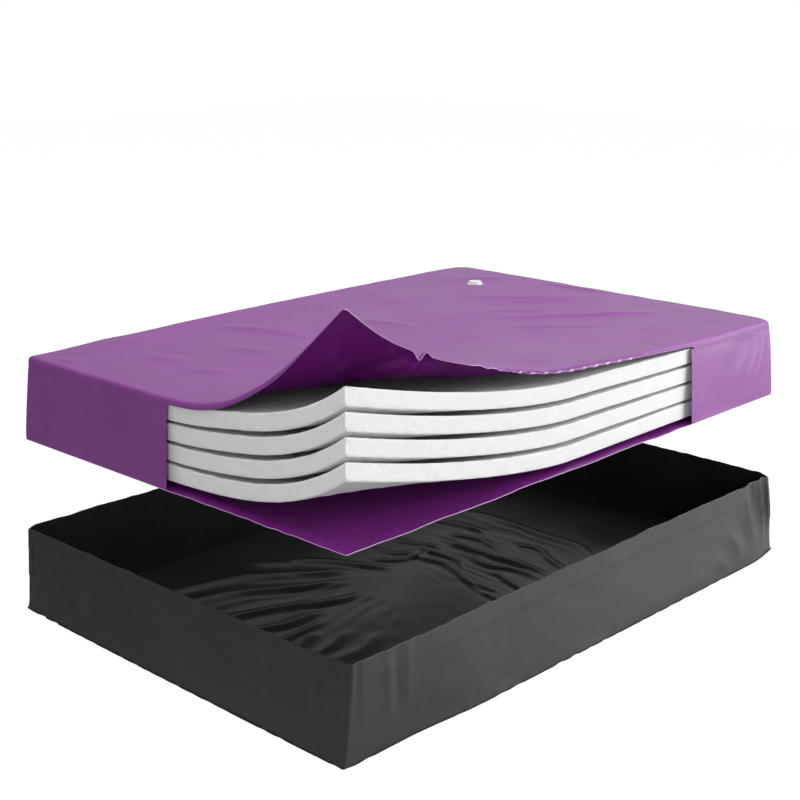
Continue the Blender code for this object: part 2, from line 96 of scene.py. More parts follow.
# Mattress sizes, from its nodes
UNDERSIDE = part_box("mattress_bottom_sheet")[LOW][Z]
INNER_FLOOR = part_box("mattress_bottom_sheet")[HIGH][Z]
FOOT_INSET = HALF_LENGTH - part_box("mattress_bottom_sheet")[HIGH][X]
WALL_FOOT_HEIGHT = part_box("mattress_back_wall")[LOW][Z]
WALL_RIM_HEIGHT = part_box("mattress_back_wall")[HIGH][Z]
RIM_INSET = HALF_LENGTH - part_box("mattress_top_sheet")[HIGH][X]
LEFT_CUT_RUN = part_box("mattress_left_wall")[LOW][Y] + HALF_WIDTH
FRONT_CUT_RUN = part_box("mattress_front_wall")[LOW][X] + HALF_LENGTH

# Sizes that no node's box gives, as the CAD has them
SEAT_GAP = 0.0003
LINER_LEAN = 0.012
LINER_CORNER_RADIUS = 0.014
FOLD_FILM = 0.0015
FOLD_LONG_ARM = 0.044
FOLD_SHORT_ARM = 0.018
LAP_FILM = 0.001
MATTRESS_FILM = 0.002
MATTRESS_CORNER_RADIUS = 0.014
MATTRESS_RADII = dict.fromkeys(("near", "right", "back", "left"), MATTRESS_CORNER_RADIUS)
EDGE_ROLL = 0.012
EDGE_HEM = 0.006
MATTRESS_TOP = WALL_RIM_HEIGHT + SEAT_GAP + EDGE_ROLL + EDGE_HEM
PATCH_FILM = 0.001
PATCH_ARM = 0.060
PATCH_FOOT_GAP = 0.004
SHEET_CLEARANCE = 0.004
SHEET_BLEND = 0.006
FIBRE_LAYERS = 4
FIBRE_THICKNESS = 0.049
FIBRE_INSET = 0.050
FIBRE_CHAMFER = 0.050
FIBRE_FLOAT = 0.012
WATER_GAP = 0.0076
WATER_GAP_OPEN = 0.0047
GAP_OPEN_SHARE = 0.45
CORNER_LIFT = 0.162
LIFT_REACH_X = 0.870
LIFT_REACH_Y = 1.200
LIFT_POWER_X = 1.5
LIFT_POWER_Y = 5.4
GAP_REACH_X = 1.450
GAP_REACH_Y = 0.660
SETTLE_START = 0.700
SETTLED_STRIP = 0.300
TIE_FILM = 0.0015
TIE_WIDTH = 0.040
TIE_ARM = 0.070
TIE_FOOT = 0.018

# The liner's looks: its sharper near corner, the spread of its foot, how its rim leans and
# droops at the corners, and the step of its seam
LINER_RADII = dict.fromkeys(("near", "right", "back", "left"), LINER_CORNER_RADIUS)
LINER_RADII["near"] = 0.005
SPREAD_LEFT = 0.014
SPREAD_FRONT = 0.014
SPREAD_RIGHT = 0.027
SPREAD_REACH = 0.200
SPREAD_START = 0.200
SPREAD_RISE = 0.300
SPREAD_END = 2.05 * HALF_LENGTH
SPREAD_FALL = 0.220
SPREAD_POWER = 1.5
RIM_SKEW = 0.020
SKEW_REACH_FRONT = 0.070
SKEW_REACH_LEFT = 0.200
RIM_DROOP = 0.010
DROOP_REACH = 0.070
DROOP_SHARES = {"right": 1.0, "left": 0.5}
FOOT_HELD = 0.10
THINNED_LENGTH = 0.012
SEAM_STEP = 0.0008
SEAM_BLEND = 0.0016
SEAM_HEIGHTS = (-0.0008, 0.0008, 0.0024)
SEAM_BELOW = 0.003
SEAM_ABOVE = 0.006
ROWS_BELOW = 24
ROWS_ABOVE = 10
GUSSET_STEP = 0.004
GUSSET_ROWS = 24
LAP_STEPS = 480
LAP_ROWS = 12

# The liner's floor: its rest above the ground, how places wander before they are folded, the
# weld line and flat strip round the edge, and the profile of a fold
FLOOR_RISE = 0.0030
FLOOR_WANDER = 0.008
FLOOR_BLEND = 0.0016
WELD_HEIGHT = 0.0014
WELD_INSET = 0.022
WELD_WIDTH = 0.004
FLAT_STRIP = 0.03
FLAT_BLEND = 0.10
FOLD_SLANT = 0.25
FOLD_POINT = 1.6
TROUGH_DEPTH = 0.26
TROUGH_PLACE = 2.1

# The mattress's looks: the set of its films and the steps of their meshes
CREASE_TAPER = 2.2
CREASE_POINT = 1.4
WALL_STEP = 0.0075
WALL_ROWS = 34
WALL_WAVE = 0.0012
WALL_WAVE_LENGTH = 0.30
WALL_SEED = 31
WALL_BELLY = 0.002
WALL_HELD = 0.06
WALL_TOP_SHARE = 0.955
PATCH_STEP = 0.008
PATCH_ROWS = 16
BOTTOM_STEP = 0.009
BOTTOM_WAVE = 0.0024
BOTTOM_FREE = 0.10
LAPPED_FILM = 0.0005
LAPPED_TAPER = 0.0002
LAPPED_PROUD = 0.0008
HEM_PROUD = 0.0007
LAP_START = 0.36
LAP_END = 0.40
HEM_RINGS = (0.20, LAP_START, LAP_END, 0.70, 1.0)
ROLL_STEPS = 5
COARSE_RUNS_X = (0.55, 0.75, 1.15, 1.35)
COARSE_RUNS_Y = (0.35, 0.55)
RIGHT_STEP_SHARE = 0.8
BACK_STEP_SHARE = 0.85
CUT_BLEND = 0.02
DASH_SLANT = 0.25
DASH_SHARE = 0.65
DASH_EDGE = 0.15
DASH_START = 0.44
DASH_RISE = 0.08
DASH_END = 1.30
DASH_FALL = 0.30
HEM_FLARE_START = 0.40
HEM_FLARE_RISE = 0.12
LIP_SHARE = 0.25
LIP_START = 0.22
LIP_RISE_FRONT = 0.16
LIP_RISE_LEFT = 0.26

# Places in the mesh of a tie: round a bend, along its arm and across it
TIE_BEND_PLACES = 5
TIE_ARM_PLACES = 8
TIE_ACROSS_PLACES = 9

# The valve's plastics
VALVE_COLOUR = (0.86, 0.86, 0.85)
VALVE_ROUGHNESS = 0.30
CAP_COLOUR = (0.90, 0.90, 0.89)
CAP_ROUGHNESS = 0.26

# The core's looks: its nap, how much coarser its mesh gets, and how waves and single strands
# share the unevenness of a cut
NAP = 0.0006
SLAB_COARSENING = 2.2
SLAB_ARC_PLACES = 5
SLAB_SIDE_PLACES = 7
SLAB_SHARP_ANGLE = 80
NAP_LENGTH = 0.05
SLAB_SEED = 50
CUT_SEED_STEP = 9
CUT_LENGTH = 0.06
CUT_WAVES = 0.8
CUT_STRANDS = 0.5

# Uneven films, each as the (length, seed) of its large waves and of its small ones, and the
# share that the small ones have
FLOOR_LUMPS = ((0.30, 7), (0.10, 8), 0.25)
LINER_WAVES = ((0.40, 11), (0.12, 12), 0.25)
RIM_KINKS = ((0.16, 13), (0.045, 14), 0.5)
SHEET_LUMPS = ((0.34, 21), (0.13, 22), 0.4)

# Single waves, each as (length, seed)
FAN_WAVES = (0.16, 9)
WANDER_X = (0.22, 5)
WANDER_Y = (0.20, 6)
FOOT_BITES = (0.05, 15)
BOTTOM_WAVES = (0.24, 41)
BOTTOM_RIPPLES = (0.07, 42)

# Corners in plan: signs of X and Y, and the angle at which the arc starts, counter-clockwise
CORNERS = {
    "near": (-1, -1, 2 * QUARTER),
    "right": (1, -1, 3 * QUARTER),
    "back": (1, 1, 0.0),
    "left": (-1, 1, QUARTER),
}
SIDES = {
    "front": ("near", "right"),
    "right": ("right", "back"),
    "back": ("back", "left"),
    "left": ("left", "near"),
}

# Creases of the top sheet as (start, end, width, height, bow); start and end are places
# (run_x, run_y), and bow is how far the crease bends sideways
TOP_CREASES = [
    ((0.60, 1.30), (0.76, 0.90), 0.022, 0.0055, 0.05),
    ((0.20, 1.30), (0.46, 1.27), 0.019, 0.0044, 0.01),
    ((0.50, 1.02), (0.58, 0.84), 0.025, 0.0044, 0.00),
    ((0.26, 0.92), (0.34, 0.76), 0.025, 0.0040, 0.00),
    ((0.24, 1.12), (0.34, 0.96), 0.022, 0.0040, 0.01),
    ((0.08, 1.30), (0.11, 1.16), 0.019, 0.0040, 0.00),
    ((1.02, 1.00), (1.10, 0.76), 0.019, 0.0037, 0.01),
    ((1.52, 1.00), (1.90, 0.66), 0.015, 0.0050, -0.035),
    ((1.50, 0.90), (1.84, 0.60), 0.011, 0.0038, -0.025),
    ((1.60, 0.86), (1.90, 0.62), 0.010, 0.0033, -0.02),
    ((1.28, 0.78), (1.93, 0.28), 0.016, 0.0060, -0.03),
    ((1.22, 0.66), (1.60, 0.32), 0.013, 0.0037, -0.03),
    ((1.40, 0.82), (1.66, 0.60), 0.010, 0.0033, -0.03),
    ((1.70, 1.24), (1.92, 1.02), 0.018, 0.0044, 0.02),
    ((1.90, 0.96), (1.93, 0.62), 0.012, 0.0040, 0.00),
]

# Creases of the mattress walls, with places (run along X or Y, height over the foot)
WALL_CREASES = {
    "front": [
        ((1.93, 0.23), (1.86, 0.05), 0.012, 0.0018, 0.010),
        ((1.90, 0.22), (1.80, 0.04), 0.012, 0.0014, 0.008),
        ((1.955, 0.22), (1.93, 0.06), 0.009, 0.0013, 0.004),
        ((1.84, 0.21), (1.72, 0.06), 0.026, 0.0018, 0.010),
        ((1.51, 0.03), (1.62, 0.075), 0.014, 0.0010, 0.006),
        ((1.70, 0.01), (1.78, 0.045), 0.010, 0.0008, 0.004),
        ((1.76, 0.005), (1.86, 0.03), 0.009, 0.0007, 0.002),
        ((1.62, 0.20), (1.80, 0.17), 0.022, 0.0010, 0.006),
    ],
    "right": [
        ((0.09, 0.22), (0.18, 0.05), 0.014, 0.0040, 0.008),
        ((0.14, 0.21), (0.28, 0.03), 0.018, 0.0032, 0.010),
        ((1.30, 0.22), (1.18, 0.04), 0.015, 0.0036, 0.008),
        ((0.50, 0.02), (0.80, 0.08), 0.020, 0.0026, 0.014),
    ],
    "back": [
        ((0.10, 0.22), (0.22, 0.04), 0.015, 0.0036, 0.008),
        ((1.90, 0.22), (1.78, 0.04), 0.015, 0.0036, 0.008),
        ((0.90, 0.03), (1.30, 0.10), 0.024, 0.0026, 0.014),
    ],
    "left": [
        ((1.32, 0.22), (1.24, 0.04), 0.020, 0.0010, 0.006),
        ((1.10, 0.20), (0.86, 0.10), 0.034, 0.0010, 0.010),
        ((0.74, 0.02), (0.96, 0.05), 0.018, 0.0008, 0.006),
    ],
}

# Creases of the liner's walls, with places (distance round it from its near corner, height)
LINER_CREASES = [
    ((1.984, 0.330), (1.986, 0.030), 0.0042, 0.0060, 0.001),
    ((1.972, 0.330), (1.978, 0.030), 0.0060, -0.0055, 0.002),
    ((1.954, 0.330), (1.968, 0.020), 0.0055, 0.0078, 0.003),
    ((1.932, 0.330), (1.950, 0.050), 0.0080, -0.0060, 0.003),
    ((1.896, 0.330), (1.932, 0.020), 0.0085, 0.0090, 0.004),
    ((1.850, 0.330), (1.898, 0.050), 0.0120, -0.0080, 0.005),
    ((1.806, 0.300), (1.868, 0.020), 0.0160, 0.0055, 0.006),
    ((1.750, 0.200), (1.830, 0.010), 0.0180, -0.0040, 0.008),
    ((1.690, 0.160), (1.790, 0.010), 0.0180, 0.0045, 0.010),
    ((1.620, 0.080), (1.700, 0.010), 0.0180, 0.0030, 0.006),
    ((0.044, 0.340), (0.030, 0.110), 0.0160, -0.0034, 0.001),
    ((0.064, 0.340), (0.066, 0.060), 0.0120, 0.0022, 0.001),
    ((0.150, 0.330), (0.150, 0.020), 0.0140, 0.0046, 0.004),
    ((0.185, 0.270), (0.180, 0.020), 0.0120, -0.0040, 0.003),
    ((0.225, 0.330), (0.215, 0.040), 0.0150, 0.0040, 0.004),
    ((2.040, 0.275), (2.055, 0.040), 0.0100, 0.0040, 0.004),
    ((2.110, 0.275), (2.090, 0.050), 0.0140, 0.0030, -0.006),
    ((3.330, 0.275), (3.300, 0.050), 0.0130, 0.0030, 0.006),
    ((3.480, 0.275), (3.510, 0.050), 0.0140, 0.0030, -0.006),
    ((5.320, 0.275), (5.300, 0.050), 0.0140, 0.0030, 0.006),
    ((5.350, 0.330), (5.356, 0.060), 0.0140, 0.0060, 0.002),
    ((5.384, 0.330), (5.396, 0.080), 0.0150, -0.0045, 0.002),
    ((6.690, 0.275), (6.660, 0.050), 0.0200, 0.0030, 0.006),
]

# Folds of the liner's floor: the places (run_x, run_y) that each one runs through, and its
# half width and height as shares of those of the largest
FLOOR_FOLDS = [
    # The fan to the left of the middle
    (((0.78, 1.12), (0.87, 1.01), (0.93, 0.90), (0.99, 0.77)), 0.55, 0.8),
    (((0.58, 1.14), (0.68, 1.03), (0.76, 0.96), (0.90, 0.84)), 0.85, 1.0),
    (((0.18, 1.11), (0.36, 1.06), (0.49, 1.01), (0.70, 0.89), (0.86, 0.78)), 0.70, 1.0),
    (((0.28, 0.99), (0.42, 0.93)), 0.45, 0.5),
    (((0.18, 0.94), (0.37, 0.88), (0.50, 0.83), (0.62, 0.78), (0.82, 0.68)), 0.60, 0.9),
    (((0.18, 0.79), (0.35, 0.76), (0.52, 0.73), (0.63, 0.69)), 0.60, 0.8),
    (((0.18, 0.68), (0.33, 0.65), (0.45, 0.65), (0.58, 0.67)), 0.55, 0.7),
    (((0.22, 0.59), (0.37, 0.59), (0.50, 0.61)), 0.50, 0.6),
    (((0.24, 0.51), (0.42, 0.52), (0.58, 0.56)), 0.55, 0.45),
    (((0.28, 0.43), (0.48, 0.45), (0.64, 0.48)), 0.80, 0.35),
    (((0.30, 1.21), (0.50, 1.12), (0.64, 1.08)), 0.70, 0.7),
    # The long wavy folds to the right of the middle
    (((1.57, 1.02), (1.55, 0.81), (1.56, 0.64), (1.55, 0.48), (1.49, 0.34)), 0.55, 0.8),
    (((1.41, 1.04), (1.43, 0.90), (1.46, 0.76)), 0.50, 0.8),
    (((1.33, 0.88), (1.38, 0.77), (1.36, 0.64)), 0.36, 0.6),
    (((1.31, 0.92), (1.27, 0.70), (1.31, 0.55), (1.27, 0.34)), 0.42, 0.9),
    (((1.24, 0.76), (1.22, 0.60), (1.26, 0.48), (1.24, 0.36)), 0.34, 0.6),
    (((1.12, 0.88), (1.12, 0.70), (1.10, 0.60), (1.03, 0.44)), 0.36, 0.7),
    (((1.18, 0.88), (1.18, 0.74), (1.15, 0.62)), 0.36, 0.7),
    (((0.97, 0.91), (1.05, 0.83), (1.20, 0.78)), 0.36, 0.5),
    (((1.41, 0.67), (1.45, 0.56), (1.40, 0.47), (1.34, 0.34)), 0.40, 0.6),
    (((1.20, 0.56), (1.16, 0.44), (1.12, 0.33)), 0.34, 0.5),
    (((1.09, 0.55), (1.07, 0.42)), 0.34, 0.4),
    (((1.05, 0.47), (0.99, 0.32)), 0.30, 0.4),
    (((1.16, 1.02), (1.20, 0.88), (1.24, 0.77)), 0.40, 0.6),
    (((1.05, 0.99), (1.09, 0.88), (1.17, 0.83)), 0.36, 0.5),
    # Those under the mattress and round the edges
    (((1.06, 1.02), (1.00, 1.28)), 0.8, 0.6),
    (((1.28, 1.10), (1.42, 1.30)), 0.8, 0.6),
    (((0.80, 1.04), (0.72, 1.14), (0.64, 1.30)), 0.8, 0.5),
    (((1.60, 1.04), (1.82, 1.18)), 0.8, 0.5),
    (((1.70, 0.86), (1.90, 0.94)), 0.8, 0.3),
    (((1.20, 0.26), (1.27, 0.10)), 0.5, 0.3),
    (((0.30, 0.32), (0.14, 0.24)), 0.7, 0.2),
]
FAN_HUB = (1.05, 0.72)
FAN_RIPPLES = 44
FAN_BEND = 1.6
FAN_START = 0.22
FAN_RISE = 0.12
FAN_REACH = 0.60
FAN_END = 1.4
FAN_LOW = -0.26
FAN_LOW_RISE = 0.14
CRINKLE_PLACE = (1.24, 0.66)
CRINKLE_REACH = 0.26
CRINKLE_END = 1.3
CRINKLE_LENGTH = 0.042
CRINKLE_BEND = 2.4

# Stage: half width of the floor and its place under the object, the white that gloss sees on
# the unlit side in the floor and in the backdrop, and the lamps as (place, size)
FLOOR_REACH = 14.0
FLOOR_HEIGHT = -0.0004
FLOOR_SPAN = 2.0
FLOOR_LEFT_WHITE = 0.10
WORLD_LEFT_WHITE = 0.05
CAMERA_CLIP = 60.0
LAMPS = {
    "key": ((2.9, -4.0, 2.1), 4.4),
    "top": ((-0.4, 0.6, 4.6), 3.2),
    "fill": ((-4.6, -2.9, 0.9), 1.6),
}

# The flap's small fold on the front edge: its middle, half width, depth and length inwards
NOTCH_RUN = 0.290
NOTCH_HALF_WIDTH = 0.011
NOTCH_DEPTH = 0.018
NOTCH_LENGTH = 0.080
PEAK_RUN = 0.318
PEAK_HEIGHT = 0.009
LOBE_EDGE = ((0.294, 0.040), (0.262, 0.066), (0.246, 0.096), (0.224, 0.136), (0.216, 0.230))
LOBE_DEPTH = 0.020
LOBE_REACH = 0.200
LOBE_STEP = 0.020

# The peeled corner of the top sheet, drawn wider open inside than the frame has it: where
# its curl starts along each edge, the curl, and how far the sheet gapes off the core there
FLAP_RUN_LEFT = 0.275
FLAP_RUN_FRONT = 0.279
FLAP_CURL_RADIUS = 0.243
FLAP_START_ANGLE = 0.971
FLAP_SOFT_START = 0.137
FLAP_LEAD_IN = 0.339
FLARE_HEIGHT = 0.099
FLARE_REACH = 1.600
FLARE_WIDTH = 0.125
GAPE_LEFT = 0.027
GAPE_LEFT_REACH = 0.630
GAPE_FRONT = 0.037
GAPE_FRONT_REACH = 0.550
GAPE_END_LEFT = 0.720
GAPE_END_FRONT = 1.600
SEAM_LAP = 0.009
GAPE_FADE = 0.250
CORNER_SAG = 0.006
SAG_REACH = 0.040
CROWN_HEIGHT = 0.010
CROWN_WIDTH = 0.240


# Shapes shared by the films and the core


def ramp(value):
    """Smooth step of a value held between 0 and 1."""
    held = np.clip(value, 0, 1)
    return held * held * (3 - 2 * held)


def soft_max(first, second, blend):
    """The larger of two heights, rounded where they cross."""
    return (first + second + np.sqrt((first - second) ** 2 + blend ** 2)) / 2


def paced(start, stop, places, steps):
    """Places from start to stop, spaced by steps that are given at some places on the way."""
    fine = np.linspace(start, stop, FINE_PLACES)
    rate = 1 / np.interp(fine, places, steps)
    passed = np.concatenate([[0], np.cumsum((rate[1:] + rate[:-1]) / 2 * np.diff(fine))])
    count = round(passed[-1])
    return np.interp(np.linspace(0, passed[-1], count + 1), passed, fine)


def slow_waves(first, second, length, seed, count=9):
    """A smooth, even field between about -1 and 1 whose bumps are about length across."""
    draw = np.random.default_rng(seed)
    field = 0
    for _ in range(count):
        angle = draw.uniform(0, FULL_TURN)
        number = FULL_TURN / (length * draw.uniform(*WAVE_LENGTHS))
        phase = draw.uniform(0, FULL_TURN)
        field = field + np.sin(
            number * (first * math.cos(angle) + second * math.sin(angle)) + phase
        )
    return field / math.sqrt(count)


def two_waves(first, second, large, small, share):
    """Slow waves with a share of smaller ones on them; large and small are (length, seed)."""
    return slow_waves(first, second, *large) + share * slow_waves(first, second, *small)


def crease_field(first, second, creases):
    """Height that a list of creases gives a film at its places (first, second)."""
    field = np.zeros_like(first)
    for start, end, width, height, bow in creases:
        way = np.array(end) - start
        length = np.linalg.norm(way)
        way = way / length
        along = ((first - start[0]) * way[0] + (second - start[1]) * way[1]) / length
        held = np.clip(along, 0, 1)
        aside = (second - start[1]) * way[0] - (first - start[0]) * way[1]
        aside = aside - bow * 4 * held * (1 - held)
        taper = ramp(CREASE_TAPER * held) * ramp(CREASE_TAPER * (1 - held)) * (along == held)
        crest = width / 4
        sharp = (np.sqrt(aside ** 2 + crest ** 2) - crest) / width
        field = field + height * taper * np.exp(-(sharp ** CREASE_POINT))
    return field


def settle(run_y):
    """1 along the cut side, falling to 0 where the core lies flat on the bottom sheet."""
    slope_width = LINER_WIDTH - SETTLED_STRIP - SETTLE_START
    return 1 - ramp((run_y - SETTLE_START) / slope_width)


def fade(run, start, reach):
    """Share that falls from 1 at start to 0 a reach further on."""
    return np.clip(1 - (run - start) / reach, 0, 1)


def corner_rise(run_x, run_y):
    """Height by which the lifted corner raises the bottom of the core."""
    share_x = fade(run_x, FIBRE_INSET, LIFT_REACH_X) ** LIFT_POWER_X
    return CORNER_LIFT * share_x * fade(run_y, FIBRE_INSET, LIFT_REACH_Y) ** LIFT_POWER_Y


def layer_gap(run_x, run_y):
    """Open water gap between two fibre layers."""
    share_x = fade(run_x, FIBRE_INSET, GAP_REACH_X)
    opened = ramp(np.minimum(share_x, fade(run_y, FIBRE_INSET, GAP_REACH_Y)) / GAP_OPEN_SHARE)
    return SEAT_GAP + (WATER_GAP + WATER_GAP_OPEN * opened) * settle(run_y)


def layer_bottom(level, run_x, run_y):
    """Underside of a fibre layer; level 0 is the lowest."""
    base = INNER_FLOOR + SEAT_GAP + FIBRE_FLOAT * settle(run_y) + corner_rise(run_x, run_y)
    return base + level * (FIBRE_THICKNESS + layer_gap(run_x, run_y))


def core_top(run_x, run_y):
    """Upper face of the core."""
    return layer_bottom(FIBRE_LAYERS - 1, run_x, run_y) + FIBRE_THICKNESS


def swell(share):
    """A hump between shares 0 and 1, 1 high at a third of the way."""
    held = np.clip(share, 0, 1)
    return 27 / 4 * held * (1 - held) ** 2


def sheet_gape(run_x, run_y):
    """Height by which the sheet stands off the core behind its two free edges."""
    from_left = GAPE_LEFT * swell((run_x - RIM_INSET) / GAPE_LEFT_REACH)
    from_front = GAPE_FRONT * swell((run_y - RIM_INSET) / GAPE_FRONT_REACH)
    from_left = from_left * ramp((GAPE_END_LEFT - run_y) / GAPE_FADE)
    from_front = from_front * ramp(GAPE_END_FRONT - run_x)
    return soft_max(from_left, from_front, SHEET_CLEARANCE) - SHEET_CLEARANCE / 2


def sheet_place(run_x, run_y):
    """Place of the top sheet after its corner is peeled back.

    The corner curls round a cylinder across the corner, from the line through the two
    FLAP_RUN distances. Along the front edge the sheet also flares up off the core.
    """
    inverse = np.array([1 / FLAP_RUN_FRONT, 1 / FLAP_RUN_LEFT])
    depth = 1 / np.linalg.norm(inverse)
    back_x, back_y = inverse * depth
    signed = depth - back_x * (run_x - RIM_INSET) - back_y * (run_y - RIM_INSET)
    curled = (signed + np.sqrt(signed ** 2 + FLAP_SOFT_START ** 2)) / 2
    curled = curled * ramp(1 + signed / FLAP_LEAD_IN)
    foot_x = run_x + back_x * curled
    foot_y = run_y + back_y * curled
    turn = FLAP_START_ANGLE + curled / FLAP_CURL_RADIUS
    along = FLAP_CURL_RADIUS * (math.sin(FLAP_START_ANGLE) - np.sin(turn))
    up = FLAP_CURL_RADIUS * (math.cos(FLAP_START_ANGLE) - np.cos(turn))
    flare = fade(foot_x, RIM_INSET, FLARE_REACH) * fade(foot_y, RIM_INSET, FLARE_WIDTH) ** 2
    over_core = core_top(foot_x, foot_y) + SHEET_CLEARANCE
    level = soft_max(MATTRESS_TOP, over_core, SHEET_BLEND) + sheet_gape(foot_x, foot_y)
    level = level + FLARE_HEIGHT * flare
    place_x = foot_x + back_x * along - HALF_LENGTH
    place_y = foot_y + back_y * along - HALF_WIDTH
    return np.stack([place_x, place_y, level + up], axis=-1)


def corner_points(half_x, half_y, radius, corner, start_share, stop_share, steps):
    """Plan points round a stretch of one corner's arc, counter-clockwise."""
    side_x, side_y, first_angle = CORNERS[corner]
    angle = first_angle + QUARTER * np.linspace(start_share, stop_share, steps + 1)
    place_x = side_x * (half_x - radius) + radius * np.cos(angle)
    place_y = side_y * (half_y - radius) + radius * np.sin(angle)
    return np.stack([place_x, place_y], axis=-1)


def wall_path(side, radii, step, cut_start=None, cut_stop=None, arc_steps=10):
    """Function of the inset that gives a wall's plan path, from mid corner to mid corner.

    cut_start and cut_stop are the wall's X or Y where it is cut off square instead.
    """
    first, last = SIDES[side]
    run_axis = X if side in ("front", "back") else Y
    near = radii[first]
    far = radii[last]
    near_share = 0.5 + SEAT_GAP / (near * QUARTER)
    far_share = 0.5 - SEAT_GAP / (far * QUARTER)
    straight = 2 * (HALF_LENGTH, HALF_WIDTH)[run_axis] - near - far
    steps = round(straight / step)

    def path_at(inset):
        half_x = HALF_LENGTH - inset
        half_y = HALF_WIDTH - inset
        start_arc = corner_points(half_x, half_y, near, first, near_share, 1, arc_steps)
        stop_arc = corner_points(half_x, half_y, far, last, 0, far_share, arc_steps)
        begin = start_arc[-1].copy()
        finish = stop_arc[0].copy()
        if cut_start is not None:
            begin[run_axis] = cut_start
            start_arc = start_arc[:0]
        if cut_stop is not None:
            finish[run_axis] = cut_stop
            stop_arc = stop_arc[:0]
        share = np.linspace(0, 1, steps + 1)[:, None]
        middle = begin * (1 - share) + finish * share
        return np.concatenate([start_arc[:-1], middle, stop_arc[1:]])

    return path_at


def wrap_path(corner, radius, first_arm, last_arm, step, arc_steps=14):
    """Function of the inset that gives the plan path of a strip wrapped round one corner."""
    side_x, side_y, _ = CORNERS[corner]
    turned = side_x * side_y > 0

    def path_at(inset):
        half_x = HALF_LENGTH - inset
        half_y = HALF_WIDTH - inset
        arc = corner_points(half_x, half_y, radius, corner, 0, 1, arc_steps)
        arms = []
        for arm, on_end_wall in ((first_arm, turned), (last_arm, not turned)):
            share = np.linspace(0, 1, max(round(arm / step), 2))[1:, None]
            way = np.array([0, -side_y]) if on_end_wall else np.array([-side_x, 0])
            root = arc[0] if not arms else arc[-1]
            arms.append(root + way * arm * share)
        return np.concatenate([arms[0][::-1], arc, arms[1]])

    return path_at


def leaning_grid(path_at, foot, rim, heights):
    """Grid of a leaning wall's places; foot and rim are (inset, height)."""
    columns = []
    for height in heights:
        share = (height - foot[1]) / (rim[1] - foot[1])
        plan = path_at(foot[0] + (rim[0] - foot[0]) * share)
        columns.append(np.column_stack([plan, np.full(len(plan), height)]))
    return np.stack(columns, axis=1)


def round_liner(places):
    """Distance round the liner from its near corner, counter-clockwise, of places on its walls."""
    place_x = places[..., X]
    place_y = places[..., Y]
    past_front = LINER_LENGTH + HALF_WIDTH
    on_back = LINER_LENGTH + LINER_WIDTH + HALF_LENGTH - place_x
    on_left = past_front + LINER_LENGTH + LINER_WIDTH - place_y
    long_wall = np.where(place_y < 0, place_x + HALF_LENGTH, on_back)
    end_wall = np.where(place_x > 0, past_front + place_y, on_left)
    by_long_wall = HALF_WIDTH - np.abs(place_y) < HALF_LENGTH - np.abs(place_x)
    return np.where(by_long_wall, long_wall, end_wall)


def slump(places):
    """Places on the soft liner after its foot spreads and its rim gives way at the corners."""
    moved = places.copy()
    run_x = places[..., X] + HALF_LENGTH
    run_y = places[..., Y] + HALF_WIDTH
    up = np.clip(places[..., Z] / LINER_RIM_HEIGHT, 0, 1)
    low = (1 - up) ** SPREAD_POWER
    front = SPREAD_FRONT + (SPREAD_RIGHT - SPREAD_FRONT) * run_x / LINER_LENGTH
    front = front * ramp((run_x - SPREAD_START) / SPREAD_RISE)
    front = front * ramp((SPREAD_END - run_x) / SPREAD_FALL)
    left = SPREAD_LEFT * (1 - (run_y / LINER_WIDTH) ** 2)
    moved[..., Y] -= low * front * ramp(1 - run_y / SPREAD_REACH)
    moved[..., X] -= low * left * ramp(1 - run_x / SPREAD_REACH)
    close = ramp(1 - np.hypot(run_x / SKEW_REACH_FRONT, run_y / SKEW_REACH_LEFT))
    moved[..., X] += RIM_SKEW * up * close
    for corner, share in DROOP_SHARES.items():
        side_x, side_y, _ = CORNERS[corner]
        gap_x = HALF_LENGTH - side_x * places[..., X]
        gap_y = HALF_WIDTH - side_y * places[..., Y]
        droop = share * RIM_DROOP * up ** 2 * ramp(1 - np.hypot(gap_x, gap_y) / DROOP_REACH)
        moved[..., Z] -= droop
        moved[..., X] -= side_x * droop
    return moved


# Meshes


def grid_normals(places):
    """Unit normals of a grid of places."""
    normals = np.cross(np.gradient(places, axis=0), np.gradient(places, axis=1))
    return normals / np.linalg.norm(normals, axis=2, keepdims=True)


def grid_quads(rows, columns, start=0):
    """Faces between the points of a grid stored row by row."""
    index = start + np.arange(rows * columns).reshape(rows, columns)
    quads = [index[:-1, :-1], index[1:, :-1], index[1:, 1:], index[:-1, 1:]]
    return np.stack(quads, axis=-1).reshape(-1, 4)


def corner_grid(half_x, half_y, radius, steps, sharp=None):
    """Shares from -1 to 1 and places of a flat sheet's grid, round at its corners.

    steps holds the number of places along X and Y, and sharp marks what stays square.
    """
    shares = [np.linspace(-1, 1, count) for count in steps]
    share_x, share_y = np.meshgrid(*shares, indexing="ij")
    place_x = share_x * half_x
    place_y = share_y * half_y
    over_x = np.maximum(np.abs(place_x) - half_x + radius, 0)
    over_y = np.maximum(np.abs(place_y) - half_y + radius, 0)
    reach = np.maximum(over_x, over_y)
    shrink = np.where(reach > 0, reach / np.maximum(np.hypot(over_x, over_y), TINY), 1)
    if sharp is not None:
        shrink = np.where(sharp(place_x, place_y), 1, shrink)
    place_x = np.sign(place_x) * (np.abs(place_x) - over_x * (1 - shrink))
    place_y = np.sign(place_y) * (np.abs(place_y) - over_y * (1 - shrink))
    return share_x, share_y, place_x, place_y


def grid_rim(rows, columns):
    """Points round the outside of a grid, in order."""
    index = np.arange(rows * columns).reshape(rows, columns)
    return np.concatenate([index[:-1, 0], index[-1, :-1], index[:0:-1, -1], index[0, :0:-1]])


def loop_quads(first, second):
    """Faces between two closed loops of point numbers."""
    return np.stack([np.roll(first, -1), first, second, np.roll(second, -1)], axis=-1)


